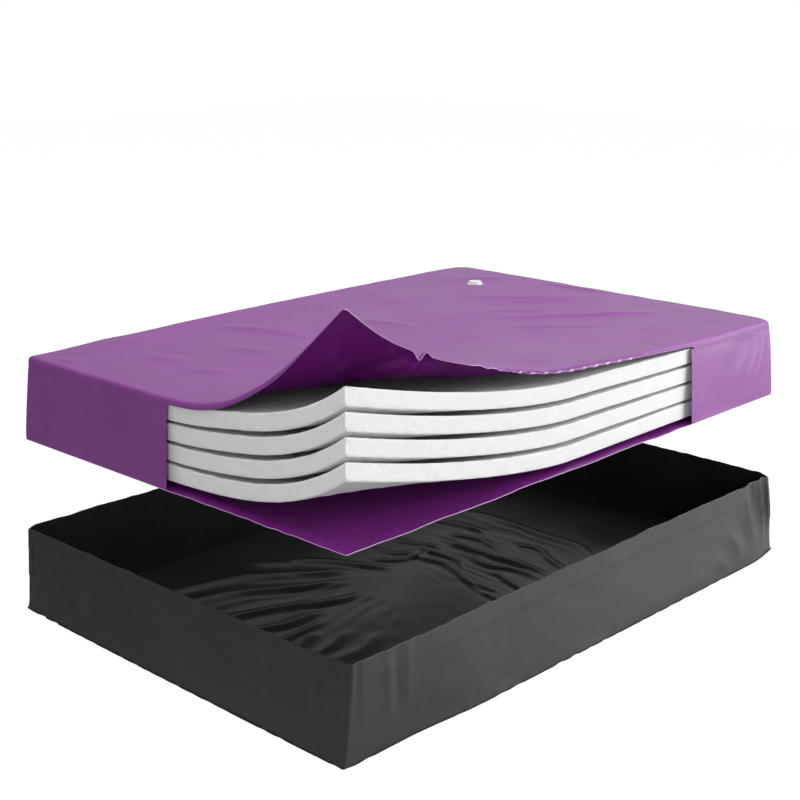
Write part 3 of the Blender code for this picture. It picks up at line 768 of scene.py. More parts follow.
def new_piece(name, verts, faces, materials, slots=None, sharp_angle=50):
    """One smooth-shaded mesh object, with creases kept where faces meet at a sharp angle."""
    mesh = bpy.data.meshes.new(name)
    rows = faces.tolist() if isinstance(faces, np.ndarray) else faces
    mesh.from_pydata(np.asarray(verts).tolist(), [], rows)
    for material in materials:
        mesh.materials.append(material)
    if slots is not None:
        mesh.polygons.foreach_set("material_index", slots)
    mesh.shade_smooth()
    mesh.set_sharp_from_angle(angle=math.radians(sharp_angle))
    mesh.update()
    piece = bpy.data.objects.new(name, mesh)
    bpy.context.scene.collection.objects.link(piece)
    return piece


def film_piece(name, outer, film, outside, inside, edge=None, edged=None, pale=None):
    """A closed film from the grid of its outer face; its inner face lies film behind it.

    film is one thickness or one for each place of the grid. The narrow faces round it take the
    edge material, a pale colour that paints a highlight, where edged is true, and so do the outer
    faces where pale is true.
    """
    rows, columns, _ = outer.shape
    count = rows * columns
    depth = np.broadcast_to(film, (rows, columns))[..., None]
    inner = outer - grid_normals(outer) * depth
    verts = np.concatenate([outer.reshape(-1, 3), inner.reshape(-1, 3)])
    front = grid_quads(rows, columns)
    behind = grid_quads(rows, columns, count)[:, ::-1]
    rim = grid_rim(rows, columns)
    faces = np.concatenate([front, behind, loop_quads(rim, rim + count)])
    slots = np.zeros(len(faces), int)
    slots[len(front):len(front) + len(behind)] = 1
    materials = [outside, inside]
    if edge is not None:
        slots[len(front) + len(behind):] = 2 * edged.reshape(-1)[rim]
        materials.append(edge)
    if pale is not None:
        slots[:len(front)] = 2 * pale.reshape(-1)[front].all(axis=1)
    return new_piece(name, verts, faces, materials, slots)


def dress(piece, body, node):
    """Puts a piece on its body in place of its CAD node."""
    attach(piece, body)
    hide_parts(node)


# Shader node groups and materials


def add_node(tree, kind, inputs=None, **settings):
    """A node with its settings; each input is a value or another node's socket."""
    made = tree.nodes.new(kind)
    for key, value in settings.items():
        setattr(made, key, value)
    for key, value in (inputs or {}).items():
        if isinstance(value, bpy.types.NodeSocket):
            tree.links.new(value, made.inputs[key])
        else:
            made.inputs[key].default_value = value
    return made


def mix_colours(tree, factor, first, second):
    """Socket of a colour mixed from two."""
    made = add_node(tree, "ShaderNodeMix", {0: factor, 6: first, 7: second}, data_type="RGBA")
    return made.outputs[2]


def math_node(tree, operation, first, second=0.0, third=0.0):
    """Socket of one sum."""
    inputs = {0: first, 1: second, 2: third}
    return add_node(tree, "ShaderNodeMath", inputs, operation=operation).outputs[0]


def map_range(tree, value, low, high, to_low, to_high):
    """Socket of a value moved from one range to another and held in it."""
    inputs = {"Value": value, 1: low, 2: high, 3: to_low, 4: to_high}
    return add_node(tree, "ShaderNodeMapRange", inputs, interpolation_type="SMOOTHSTEP").outputs[0]


def noise(tree, place, scale, detail, **more):
    """Socket of a noise; more names its other inputs."""
    inputs = {"Vector": place, "Scale": scale, "Detail": detail, **more}
    return add_node(tree, "ShaderNodeTexNoise", inputs).outputs["Fac"]


def open_group(name, inputs):
    """A new shader group with named values for inputs, their sockets and the object's place."""
    group = bpy.data.node_groups.new(name, "ShaderNodeTree")
    for label, value in inputs.items():
        socket = group.interface.new_socket(label, in_out="INPUT", socket_type="NodeSocketFloat")
        socket.default_value = value
    place = add_node(group, "ShaderNodeTexCoord").outputs["Object"]
    return group, group.nodes.new("NodeGroupInput").outputs, place


def close_group(group, results):
    """Gives a group its named outputs."""
    for label in results:
        group.interface.new_socket(label, in_out="OUTPUT", socket_type="NodeSocketFloat")
    end = group.nodes.new("NodeGroupOutput")
    for label, socket in results.items():
        group.links.new(socket, end.inputs[label])
    return group


def film_group():
    """Plastic film: a slow mottle, fine scuffs and the height of its pressed grain."""
    if "film_surface" in bpy.data.node_groups:
        return bpy.data.node_groups["film_surface"]
    inputs = {"Mottle Scale": 3.0, "Scuff Scale": 45.0, "Grain Scale": 320.0}
    group, given, place = open_group("film_surface", inputs)
    slow = noise(group, place, given["Mottle Scale"], 3.0, Roughness=0.45)
    stretched = add_node(group, "ShaderNodeMapping", {"Vector": place, "Scale": (1.0, 0.35, 0.6)})
    scuff = noise(
        group, stretched.outputs["Vector"], given["Scuff Scale"], 5.0, Roughness=0.62,
        Distortion=0.6,
    )
    grain = add_node(group, "ShaderNodeTexVoronoi", {
        "Vector": place, "Scale": given["Grain Scale"], "Smoothness": 0.7,
    }, feature="SMOOTH_F1")
    peel = noise(group, place, given["Scuff Scale"], 2.0)
    fine = math_node(group, "MULTIPLY", grain.outputs["Distance"], 0.30)
    return close_group(group, {
        "Mottle": map_range(group, slow, 0.32, 0.68, 0.0, 1.0),
        "Scuffs": map_range(group, scuff, 0.52, 0.74, 0.0, 1.0),
        "Height": math_node(group, "ADD", fine, peel),
    })


def fibre_group():
    """Bonded fleece: strands that stand upright on a cut side and lie anyhow on a face."""
    if "fleece_fibres" in bpy.data.node_groups:
        return bpy.data.node_groups["fleece_fibres"]
    inputs = {"Strand Scale": 380.0, "Tuft Scale": 90.0, "Lay": 0.30}
    group, given, place = open_group("fleece_fibres", inputs)
    squeeze = add_node(group, "ShaderNodeCombineXYZ", {0: 1.0, 1: 1.0, 2: given["Lay"]})
    upright = add_node(group, "ShaderNodeVectorMath", {
        0: place, 1: squeeze.outputs["Vector"],
    }, operation="MULTIPLY")
    facing = add_node(group, "ShaderNodeNewGeometry").outputs["Normal"]
    up = add_node(group, "ShaderNodeSeparateXYZ", {0: facing}).outputs["Z"]
    on_face = map_range(group, math_node(group, "ABSOLUTE", up), 0.45, 0.80, 0.0, 1.0)
    turned = add_node(group, "ShaderNodeMix", {
        0: on_face, 4: upright.outputs["Vector"], 5: place,
    }, data_type="VECTOR").outputs[1]
    strands = noise(group, turned, given["Strand Scale"], 4.0, Roughness=0.65, Distortion=0.4)
    strand_mask = map_range(group, strands, 0.34, 0.66, 0.0, 1.0)
    tufts = noise(group, place, given["Tuft Scale"], 3.0)
    tuft_mask = map_range(group, tufts, 0.35, 0.65, 0.0, 1.0)
    height = math_node(group, "MULTIPLY_ADD", tuft_mask, 0.5, strand_mask)
    return close_group(group, {"Strands": strand_mask, "Tufts": tuft_mask, "Height": height})


def weave_group():
    """Flat webbing: ribs across the strap, crossed by a finer warp."""
    if "webbing_weave" in bpy.data.node_groups:
        return bpy.data.node_groups["webbing_weave"]
    group, given, place = open_group("webbing_weave", {"Rib Scale": 110.0, "Warp Scale": 190.0})
    ribs, warp = [
        add_node(group, "ShaderNodeTexWave", {
            "Vector": place, "Scale": given[scale], "Distortion": distortion,
        }, bands_direction=way).outputs["Fac"]
        for scale, distortion, way in (("Rib Scale", 0.6, "Z"), ("Warp Scale", 0.4, "DIAGONAL"))
    ]
    both = math_node(group, "MULTIPLY", ribs, warp)
    return close_group(group, {"Ribs": both, "Height": both})


def open_material(name, group=None, scales=None):
    """A new material, its tree and shader, and the outputs of its group at given scales."""
    material = bpy.data.materials.new(name)
    material.use_nodes = True
    tree = material.node_tree
    outputs = None
    if group is not None:
        surface = add_node(tree, "ShaderNodeGroup", scales, node_tree=group)
        outputs = surface.outputs
    return material, tree, tree.nodes["Principled BSDF"], outputs


def set_surface(tree, shader, colour, roughness, height, strength, relief):
    """Links the sockets of a material's colour, roughness and bumps to its shader."""
    bump = add_node(tree, "ShaderNodeBump", {
        "Strength": strength, "Distance": relief, "Height": height,
    })
    tree.links.new(colour, shader.inputs["Base Color"])
    tree.links.new(roughness, shader.inputs["Roughness"])
    tree.links.new(bump.outputs["Normal"], shader.inputs["Normal"])


def shades(colour, spread):
    """A darker and a lighter version of one colour."""
    dark = [channel * (1 - spread) for channel in colour]
    light = [min(channel * (1 + spread), 1.0) for channel in colour]
    return (*dark, 1.0), (*light, 1.0)


# Films: the group of looks with the names of their colour and roughness in it, the spread of
# the colour's shades, the shine, the scales of mottle, scuffs and grain, the height of the
# grain, a factor on the colour, a rise of the roughness, and how far scuffs turn it pale
Film = namedtuple("Film", "looks colour roughness spread shine scales relief tint rise bloom")
FILMS = {
    "vinyl_outside": Film(
        "waterbed_mattress", "outside_colour", "roughness",
        spread=0.04, shine=0.50, scales=(3, 38, 300), relief=0.0003, tint=1, rise=0, bloom=0.04,
    ),
    "vinyl_inside": Film(
        "waterbed_mattress", "inside_colour", "roughness",
        spread=0.08, shine=0.08, scales=(4, 38, 260), relief=0.0005, tint=1, rise=0.12, bloom=0.04,
    ),
    # The upper face of the bottom sheet, which the core has rubbed smooth, in a lighter copy of
    # the inner colour: painted light
    "vinyl_lining": Film(
        "waterbed_mattress", "inside_colour", "roughness",
        spread=0.08, shine=0.36, scales=(4, 38, 260), relief=0.0003, tint=1.65, rise=-0.04,
        bloom=0.04,
    ),
    # Pale colour of the cut edges, rims and weld dashes: a painted highlight
    "vinyl_edge": Film(
        "waterbed_mattress", "edge_colour", "roughness",
        spread=0.06, shine=0.50, scales=(12, 60, 300), relief=0.0002, tint=1, rise=0, bloom=0.04,
    ),
    "liner_outside": Film(
        "waterbed_liner", "outside_colour", "outside_roughness",
        spread=0.08, shine=0.44, scales=(2.5, 26, 280), relief=0.0003, tint=1, rise=0, bloom=0.03,
    ),
    "liner_inside": Film(
        "waterbed_liner", "inside_colour", "inside_roughness",
        spread=0.15, shine=0.10, scales=(5, 24, 240), relief=0.0003, tint=1, rise=0.10, bloom=0.02,
    ),
    # The liner's floor, glossier than its walls; its colour is a lighter copy of theirs, painted
    # light
    "liner_floor_film": Film(
        "waterbed_liner", "inside_colour", "inside_roughness",
        spread=0.10, shine=0.46, scales=(5, 24, 240), relief=0.0001, tint=1.5, rise=0, bloom=0,
    ),
    # Pale grey of the free rim: a painted highlight on the black film
    "liner_edge": Film(
        "waterbed_liner", "edge_colour", "outside_roughness",
        spread=0.10, shine=0.50, scales=(12, 60, 280), relief=0.0002, tint=1, rise=0, bloom=0.03,
    ),
}
FILM_SCALES = ("Mottle Scale", "Scuff Scale", "Grain Scale")
SCUFF_SHARE = 0.35
MOTTLE_DULLING = 0.06
GRAIN_STRENGTH = 0.35


def film_material(context, name):
    """Plastic film of one row of FILMS, made once."""
    if name in bpy.data.materials:
        return bpy.data.materials[name]
    film = FILMS[name]
    looks = getattr(context.scene, film.looks)
    colour = [film.tint * channel for channel in getattr(looks, film.colour)]
    roughness = getattr(looks, film.roughness) + film.rise
    scales = dict(zip(FILM_SCALES, film.scales))
    material, tree, shader, surface = open_material(name, film_group(), scales)
    mixed = mix_colours(tree, surface["Mottle"], *shades(colour, film.spread))
    pale = (*[channel + (1 - channel) * film.bloom for channel in colour], 1.0)
    scuffed = math_node(tree, "MULTIPLY", surface["Scuffs"], SCUFF_SHARE)
    hazed = mix_colours(tree, scuffed, mixed, pale)
    least = roughness - MOTTLE_DULLING / 2
    dull = math_node(tree, "MULTIPLY_ADD", surface["Mottle"], MOTTLE_DULLING, least)
    set_surface(tree, shader, hazed, dull, surface["Height"], GRAIN_STRENGTH, film.relief)
    shader.inputs["Specular IOR Level"].default_value = film.shine
    return material


def film_materials(context, *names):
    """Several films, in order."""
    return [film_material(context, name) for name in names]


def fleece_material(context, name, colour):
    """Bonded fleece, soft and fibrous."""
    if name in bpy.data.materials:
        return bpy.data.materials[name]
    material, tree, shader, fibres = open_material(name, fibre_group())
    dark, light = shades(colour, context.scene.waterbed_core.speckle)
    mixed = mix_colours(tree, fibres["Strands"], dark, light)
    tufted = mix_colours(tree, math_node(tree, "MULTIPLY", fibres["Tufts"], 0.3), mixed, light)
    rough = math_node(tree, "MULTIPLY_ADD", fibres["Strands"], 0.06, 0.90)
    set_surface(tree, shader, tufted, rough, fibres["Height"], 0.38, 0.0009)
    shader.inputs["Specular IOR Level"].default_value = 0.20
    shader.inputs["Sheen Weight"].default_value = 0.40
    shader.inputs["Sheen Roughness"].default_value = 0.6
    return material


def webbing_material():
    """Off-white woven strap."""
    material, tree, shader, weave = open_material("webbing", weave_group())
    mixed = mix_colours(tree, weave["Ribs"], (0.50, 0.50, 0.48, 1.0), (0.78, 0.78, 0.75, 1.0))
    rough = math_node(tree, "MULTIPLY_ADD", weave["Ribs"], -0.10, 0.88)
    set_surface(tree, shader, mixed, rough, weave["Height"], 0.6, 0.0006)
    return material


def valve_material(name, colour, roughness):
    """Moulded valve plastic with a faint flow pattern."""
    scales = dict(zip(FILM_SCALES, (60.0, 240.0, 1800.0)))
    material, tree, shader, surface = open_material(name, film_group(), scales)
    mixed = mix_colours(tree, surface["Mottle"], *shades(colour, 0.03))
    rough = math_node(tree, "MULTIPLY_ADD", surface["Scuffs"], 0.12, roughness)
    set_surface(tree, shader, mixed, rough, surface["Height"], 0.3, 0.0001)
    return material


# What a user would change


class LinerLooks(bpy.types.PropertyGroup):
    """Sizes and colours of the safety liner."""

    fold_height: bpy.props.FloatProperty(
        name="Fold Height", description="Height of the tallest floor fold",
        default=0.0088, min=0.0, unit="LENGTH",
    )
    fold_width: bpy.props.FloatProperty(
        name="Fold Width", description="Half width of the widest floor fold", default=0.032,
        min=0.001, unit="LENGTH",
    )
    floor_step: bpy.props.FloatProperty(
        name="Floor Step", description="Spacing of the floor mesh", default=0.0060,
        min=0.004, unit="LENGTH",
    )
    lump_height: bpy.props.FloatProperty(
        name="Lump Height", description="Height of the floor's slow lumps", default=0.0006,
        min=0.0, unit="LENGTH",
    )
    ripple_height: bpy.props.FloatProperty(
        name="Ripple Height", description="Height of the fine ripples between the floor's folds",
        default=0.0007, min=0.0, unit="LENGTH",
    )
    foot_bite: bpy.props.FloatProperty(
        name="Foot Bite", description="How far the foot's flange is drawn in here and there",
        default=0.0020, min=0.0, unit="LENGTH",
    )
    wall_step: bpy.props.FloatProperty(
        name="Wall Step", description="Spacing of the wall meshes along the liner", default=0.007,
        min=0.003, unit="LENGTH",
    )
    wall_wave: bpy.props.FloatProperty(
        name="Wall Wave", description="Depth of the slow waves of the walls", default=0.0014,
        min=0.0, unit="LENGTH",
    )
    rim_wave: bpy.props.FloatProperty(
        name="Rim Wave", description="Rise and fall of the free rim", default=0.0013,
        min=0.0, unit="LENGTH",
    )
    outside_colour: bpy.props.FloatVectorProperty(
        name="Outside Colour", description="Colour of the film's outer face", subtype="COLOR",
        default=(0.027, 0.027, 0.0278), min=0.0, max=1.0,
    )
    inside_colour: bpy.props.FloatVectorProperty(
        name="Inside Colour", description="Colour of the film's inner face", subtype="COLOR",
        default=(0.020, 0.020, 0.0205), min=0.0, max=1.0,
    )
    # A pale grey that paints a highlight on the film's free rim
    edge_colour: bpy.props.FloatVectorProperty(
        name="Edge Colour", description="Colour of the film's cut rim", subtype="COLOR",
        default=(0.24, 0.24, 0.24), min=0.0, max=1.0,
    )
    outside_roughness: bpy.props.FloatProperty(
        name="Outside Roughness", description="Dullness of the outer face", subtype="FACTOR",
        default=0.46, min=0.0, max=1.0,
    )
    inside_roughness: bpy.props.FloatProperty(
        name="Inside Roughness", description="Dullness of the inner face", subtype="FACTOR",
        default=0.30, min=0.0, max=1.0,
    )


class MattressLooks(bpy.types.PropertyGroup):
    """Sizes and colours of the mattress's vinyl."""

    near_step: bpy.props.FloatProperty(
        name="Near Step", description="Spacing of the top sheet's mesh at the cut corner",
        default=0.0066, min=0.003, unit="LENGTH",
    )
    far_step: bpy.props.FloatProperty(
        name="Far Step", description="Spacing of the top sheet's mesh away from that corner",
        default=0.0099, min=0.003, unit="LENGTH",
    )
    crease_depth: bpy.props.FloatProperty(
        name="Crease Depth", description="Factor on the height of every crease", default=1.35,
        min=0.0, max=2.0,
    )
    lump_height: bpy.props.FloatProperty(
        name="Lump Height", description="Height of the top sheet's slow lumps", default=0.0012,
        min=0.0, unit="LENGTH",
    )
    bead_height: bpy.props.FloatProperty(
        name="Bead Height", description="How far the front weld's dashes stand out",
        default=0.0058, min=0.0, unit="LENGTH",
    )
    bead_length: bpy.props.FloatProperty(
        name="Bead Length", description="Spacing of the dashes along the front weld",
        default=0.056, min=0.01, unit="LENGTH",
    )
    outside_colour: bpy.props.FloatVectorProperty(
        name="Outside Colour", description="Colour of the vinyl's outer face", subtype="COLOR",
        default=(0.260, 0.060, 0.303), min=0.0, max=1.0,
    )
    inside_colour: bpy.props.FloatVectorProperty(
        name="Inside Colour", description="Colour of the vinyl's inner face", subtype="COLOR",
        default=(0.106, 0.0045, 0.124), min=0.0, max=1.0,
    )
    # A pale colour that paints a highlight on the vinyl's cut edges, rims and weld dashes
    edge_colour: bpy.props.FloatVectorProperty(
        name="Edge Colour", description="Colour of the vinyl's cut edges", subtype="COLOR",
        default=(0.72, 0.48, 0.77), min=0.0, max=1.0,
    )
    roughness: bpy.props.FloatProperty(
        name="Roughness", description="Dullness of the vinyl", subtype="FACTOR",
        default=0.35, min=0.0, max=1.0,
    )


class CoreLooks(bpy.types.PropertyGroup):
    """Sizes and colour of the fleece core."""

    step: bpy.props.FloatProperty(
        name="Step", description="Spacing of the slab meshes at the cut corner", default=0.009,
        min=0.004, unit="LENGTH",
    )
    top_round: bpy.props.FloatProperty(
        name="Top Round", description="Radius of the slabs' upper edges", default=0.0034,
        min=0.001, unit="LENGTH",
    )
    foot_round: bpy.props.FloatProperty(
        name="Foot Round", description="Radius of the slabs' lower edges", default=0.0045,
        min=0.001, unit="LENGTH",
    )
    cut_relief: bpy.props.FloatProperty(
        name="Cut Relief", description="Unevenness of the cut sides", default=0.0008,
        min=0.0, unit="LENGTH",
    )
    colour: bpy.props.FloatVectorProperty(
        name="Colour", description="Colour of the fleece", subtype="COLOR",
        default=(0.95, 0.95, 0.945), min=0.0, max=1.0,
    )
    # A darker grey on the slabs' flat faces: painted shade in the gaps between them
    painted_shade_colour: bpy.props.FloatVectorProperty(
        name="Skin Colour", description="Colour of the slabs' bonded upper and lower faces",
        subtype="COLOR", default=(0.64, 0.65, 0.64), min=0.0, max=1.0,
    )
    speckle: bpy.props.FloatProperty(
        name="Speckle", description="How far single strands are lighter or darker",
        subtype="FACTOR", default=0.05, min=0.0, max=0.5,
    )


class StageLooks(bpy.types.PropertyGroup):
    """Camera, lamps and backdrop."""

    camera_place: bpy.props.FloatVectorProperty(
        name="Camera Place", description="Where the camera stands", subtype="XYZ",
        unit="LENGTH", default=(-3.28458, -3.03421, 1.86867),
    )
    camera_yaw: bpy.props.FloatProperty(
        name="Camera Yaw", description="Turn of the camera away from +Y", subtype="ANGLE",
        default=math.radians(-46.580),
    )
    camera_pitch: bpy.props.FloatProperty(
        name="Camera Pitch", description="How far the camera looks down", subtype="ANGLE",
        default=math.radians(15.984),
    )
    lens: bpy.props.FloatProperty(
        name="Lens", description="Focal length on a 36 mm sensor", default=67.552,
        min=10.0, unit="CAMERA",
    )
    ambient: bpy.props.FloatProperty(
        name="Ambient", description="Strength of the light from all round", default=0.46, min=0.0,
    )
    key_power: bpy.props.FloatProperty(
        name="Key Power", description="Power of the large lamp at the right front", default=214.0,
        min=0.0, unit="POWER",
    )
    top_power: bpy.props.FloatProperty(
        name="Top Power", description="Power of the large lamp overhead", default=84.0,
        min=0.0, unit="POWER",
    )
    fill_power: bpy.props.FloatProperty(
        name="Fill Power", description="Power of the lamp at the left", default=50.0,
        min=0.0, unit="POWER",
    )
    floor_colour: bpy.props.FloatVectorProperty(
        name="Floor Colour", description="Colour of the floor", subtype="COLOR",
        default=(0.20, 0.20, 0.20), min=0.0, max=1.0,
    )
    floor_glow: bpy.props.FloatProperty(
        name="Floor Glow", description="White that the floor adds in the picture and in gloss",
        default=0.90, min=0.0,
    )


# Safety liner


def fold_line(places, steps=8):
    """Smooth line through a fold's places."""
    given = np.array(places)
    at = np.linspace(0, len(given) - 1, steps * (len(given) - 1) + 1)
    line = np.stack([np.interp(at, np.arange(len(given)), given[:, axis]) for axis in (X, Y)], -1)
    for _ in range(steps):
        line[1:-1] = (line[:-2] + 2 * line[1:-1] + line[2:]) / 4
    return line


def fold_height(run_x, run_y, fold, looks):
    """Height of one floor fold: a crisp ridge with a shallow trough beside it."""
    places, width_share, height_share = fold
    line = fold_line(places)
    reach = looks.fold_width * width_share
    gap = np.full(run_x.shape, np.inf)
    aside = np.zeros_like(run_x)
    along = np.zeros_like(run_x)
    for k in range(len(line) - 1):
        way = line[k + 1] - line[k]
        length = np.linalg.norm(way)
        way = way / length
        off_x = run_x - line[k, X]
        off_y = run_y - line[k, Y]
        ahead = np.clip(off_x * way[X] + off_y * way[Y], 0, length)
        off_x = off_x - way[X] * ahead
        off_y = off_y - way[Y] * ahead
        here = np.hypot(off_x, off_y)
        nearer = here < gap
        gap = np.where(nearer, here, gap)
        aside = np.where(nearer, np.sign(way[X] * off_y - way[Y] * off_x) * here, aside)
        along = np.where(nearer, (k + ahead / length) / (len(line) - 1), along)
    share = aside / reach
    ridge = np.exp(-(np.abs(share) * (1 + FOLD_SLANT * np.tanh(3 * share))) ** FOLD_POINT)
    trough = TROUGH_DEPTH * np.exp(-(share + TROUGH_PLACE) ** 2)
    taper = ramp(4 * along) * ramp(4 * (1 - along))
    return looks.fold_height * height_share * taper * (ridge - trough)


def fine_ripples(run_x, run_y):
    """Fine ripples between the folds: a fan to the left of the middle, crinkles to its right."""
    bent = slow_waves(run_x, run_y, *FAN_WAVES)
    off_x = FAN_HUB[X] - run_x
    off_y = run_y - FAN_HUB[Y]
    turn = np.arctan2(off_y, np.maximum(off_x, SEAT_GAP))
    fan = np.sin(FAN_RIPPLES * turn + FAN_BEND * bent)
    fan = fan * ramp((off_x - FAN_START) / FAN_RISE)
    fan = fan * ramp(FAN_END - np.hypot(off_x, off_y) / FAN_REACH)
    fan = fan * ramp((off_y - FAN_LOW) / FAN_LOW_RISE)
    gap = np.hypot(run_x - CRINKLE_PLACE[X], run_y - CRINKLE_PLACE[Y]) / CRINKLE_REACH
    crinkles = np.sin(FULL_TURN * run_x / CRINKLE_LENGTH + CRINKLE_BEND * bent)
    return fan + crinkles * ramp(CRINKLE_END - gap)


def floor_relief(run_x, run_y, looks):
    """Height of the floor film over the ground: folds and lumps, flat at the welded edge."""
    warp_x = run_x + FLOOR_WANDER * slow_waves(run_x, run_y, *WANDER_X)
    warp_y = run_y + FLOOR_WANDER * slow_waves(run_x, run_y, *WANDER_Y)
    folds = np.zeros_like(run_x)
    for fold in FLOOR_FOLDS:
        folds = folds + fold_height(warp_x, warp_y, fold, looks)
    lumps = two_waves(run_x, run_y, *FLOOR_LUMPS)
    edge_x = np.minimum(run_x, LINER_LENGTH - run_x)
    edge = np.minimum(edge_x, np.minimum(run_y, LINER_WIDTH - run_y))
    held = ramp((edge - FLAT_STRIP) / FLAT_BLEND)
    rise = FLOOR_RISE + folds + looks.lump_height * lumps
    rise = rise + looks.ripple_height * fine_ripples(run_x, run_y)
    weld = WELD_HEIGHT * np.exp(-((edge - WELD_INSET) / WELD_WIDTH) ** 2)
    return held * soft_max(rise, 0, FLOOR_BLEND) + weld


def build_liner_floor(context):
    """Floor film of the liner with its folds, flat underneath."""
    looks = context.scene.waterbed_liner
    steps = [round(size / looks.floor_step) for size in (LINER_LENGTH, LINER_WIDTH)]
    share_x, share_y, place_x, place_y = corner_grid(
        HALF_LENGTH, HALF_WIDTH, LINER_CORNER_RADIUS, steps
    )
    lift = floor_relief(place_x + HALF_LENGTH, place_y + HALF_WIDTH, looks)
    flat = np.stack([place_x, place_y, 0 * place_x], axis=-1)
    on_edge = (np.abs(share_x) == 1) | (np.abs(share_y) == 1)
    bites = on_edge * np.maximum(slow_waves(round_liner(flat), 0 * place_x, *FOOT_BITES), 0)
    flat = flat - looks.foot_bite * bites[..., None] * np.sign(flat)
    flat = slump(flat)
    flat[..., Z] += LINER_FILM + lift
    upper = flat.reshape(-1, 3)
    rim = grid_rim(*steps)
    lower = upper[rim] * (1, 1, 0)
    ground = len(upper) + np.arange(len(rim))
    top_faces = grid_quads(*steps)
    faces = [*top_faces.tolist(), *loop_quads(rim, ground).tolist(), ground.tolist()]
    slots = np.zeros(len(faces), int)
    slots[len(top_faces):] = 1
    materials = film_materials(context, "liner_floor_film", "liner_outside")
    piece = new_piece("liner_floor", np.concatenate([upper, lower]), faces, materials, slots)
    dress(piece, "liner", "liner_floor_sheet")
    return piece


def liner_seam(height):
    """Step of the seam that runs round the liner under its rim."""
    return SEAM_STEP * ramp((height - LAP_FOOT_HEIGHT) / SEAM_BLEND)


def liner_relief(round_at, height, looks):
    """How far the liner's walls stand out from their plane, by distance round and height."""
    share = (height - LINER_FOOT_HEIGHT) / (LINER_RIM_HEIGHT - LINER_FOOT_HEIGHT)
    waves = looks.wall_wave * two_waves(round_at, height, *LINER_WAVES)
    creases = crease_field(round_at, height, LINER_CREASES)
    held = ramp(share / FOOT_HELD)
    return held * (waves + creases) + liner_seam(height)


def rim_rise(round_at, looks):
    """Rise of the liner's free rim, with the small kinks of soft film."""
    return looks.rim_wave * two_waves(round_at, 0 * round_at, *RIM_KINKS)


def liner_film_grid(path_at, heights, proud, looks):
    """Grid of film along the liner's wall, standing proud of the wall's outer face."""
    foot = (LINER_FOOT_INSET - proud, LINER_FOOT_HEIGHT)
    rim = (LINER_FOOT_INSET + LINER_LEAN - proud, LINER_RIM_HEIGHT)
    outer = leaning_grid(path_at, foot, rim, heights)
    round_at = round_liner(outer)
    share = np.clip(
        (outer[..., Z] - LINER_FOOT_HEIGHT) / (LINER_RIM_HEIGHT - LINER_FOOT_HEIGHT), 0, 1
    )
    relief = liner_relief(round_at, outer[..., Z], looks)
    outer = outer + grid_normals(outer) * relief[..., None]
    outer[..., Z] += rim_rise(round_at, looks) * share ** 2
    return slump(outer)


def top_edge(outer):
    """Marks the last column of a wall's grid, its free rim, for the pale colour that paints a
    highlight.
    """
    marked = np.zeros(outer.shape[:2], int)
    marked[:, -1] = 1
    return marked


def build_liner_walls(context):
    """The liner's four walls, each from mid corner to mid corner."""
    looks = context.scene.waterbed_liner
    below = np.linspace(LINER_FOOT_HEIGHT, LAP_FOOT_HEIGHT - SEAM_BELOW, ROWS_BELOW)
    seam = LAP_FOOT_HEIGHT + np.array(SEAM_HEIGHTS)
    above = np.linspace(LAP_FOOT_HEIGHT + SEAM_ABOVE, LINER_RIM_HEIGHT, ROWS_ABOVE)
    heights = np.concatenate([below, seam, above])
    films = film_materials(context, "liner_outside", "liner_inside", "liner_edge")
    for side in SIDES:
        path = wall_path(side, LINER_RADII, looks.wall_step)
        outer = liner_film_grid(path, heights, 0, looks)
        film = LINER_FILM + liner_seam(heights)[None, :]
        # The front wall's free rim takes the pale edge colour, a painted highlight
        edged = top_edge(outer) * (side == "front")
        piece = film_piece(f"liner_{side}_film", outer, film, *films, edged)
        dress(piece, "liner", f"liner_{side}_wall")


def thin_ends(outer, film, step):
    """Outer face and thickness of a strip after it is thinned towards both ends."""
    from_end = np.minimum(np.arange(len(outer)), np.arange(len(outer))[::-1]) * step
    thinned = (film - SEAT_GAP) * (1 - ramp(from_end / THINNED_LENGTH))[:, None]
    return outer - grid_normals(outer) * thinned[..., None], film - thinned


def build_liner_gussets(context):
    """Gussets of folded film round the liner's corners, thin where they lie on the walls."""
    looks = context.scene.waterbed_liner
    arms = {
        "near": (FOLD_SHORT_ARM, FOLD_LONG_ARM),
        "right": (FOLD_LONG_ARM, FOLD_SHORT_ARM),
        "back": (FOLD_SHORT_ARM, FOLD_LONG_ARM),
        "left": (FOLD_LONG_ARM, FOLD_SHORT_ARM),
    }
    films = film_materials(context, "liner_outside", "liner_inside")
    proud = FOLD_FILM + SEAT_GAP
    heights = np.linspace(FOLD_FOOT_HEIGHT, LINER_RIM_HEIGHT, GUSSET_ROWS)
    for corner, (first_arm, last_arm) in arms.items():
        radius = LINER_RADII[corner]
        first_arm = first_arm + LINER_CORNER_RADIUS - radius
        last_arm = last_arm + LINER_CORNER_RADIUS - radius
        path = wrap_path(corner, radius + proud, first_arm, last_arm, GUSSET_STEP)
        outer = liner_film_grid(path, heights, proud, looks)
        outer, film = thin_ends(outer, FOLD_FILM, GUSSET_STEP)
        piece = film_piece(f"liner_{corner}_gusset", outer, film, *films)
        dress(piece, "liner", f"liner_{corner}_corner_fold")


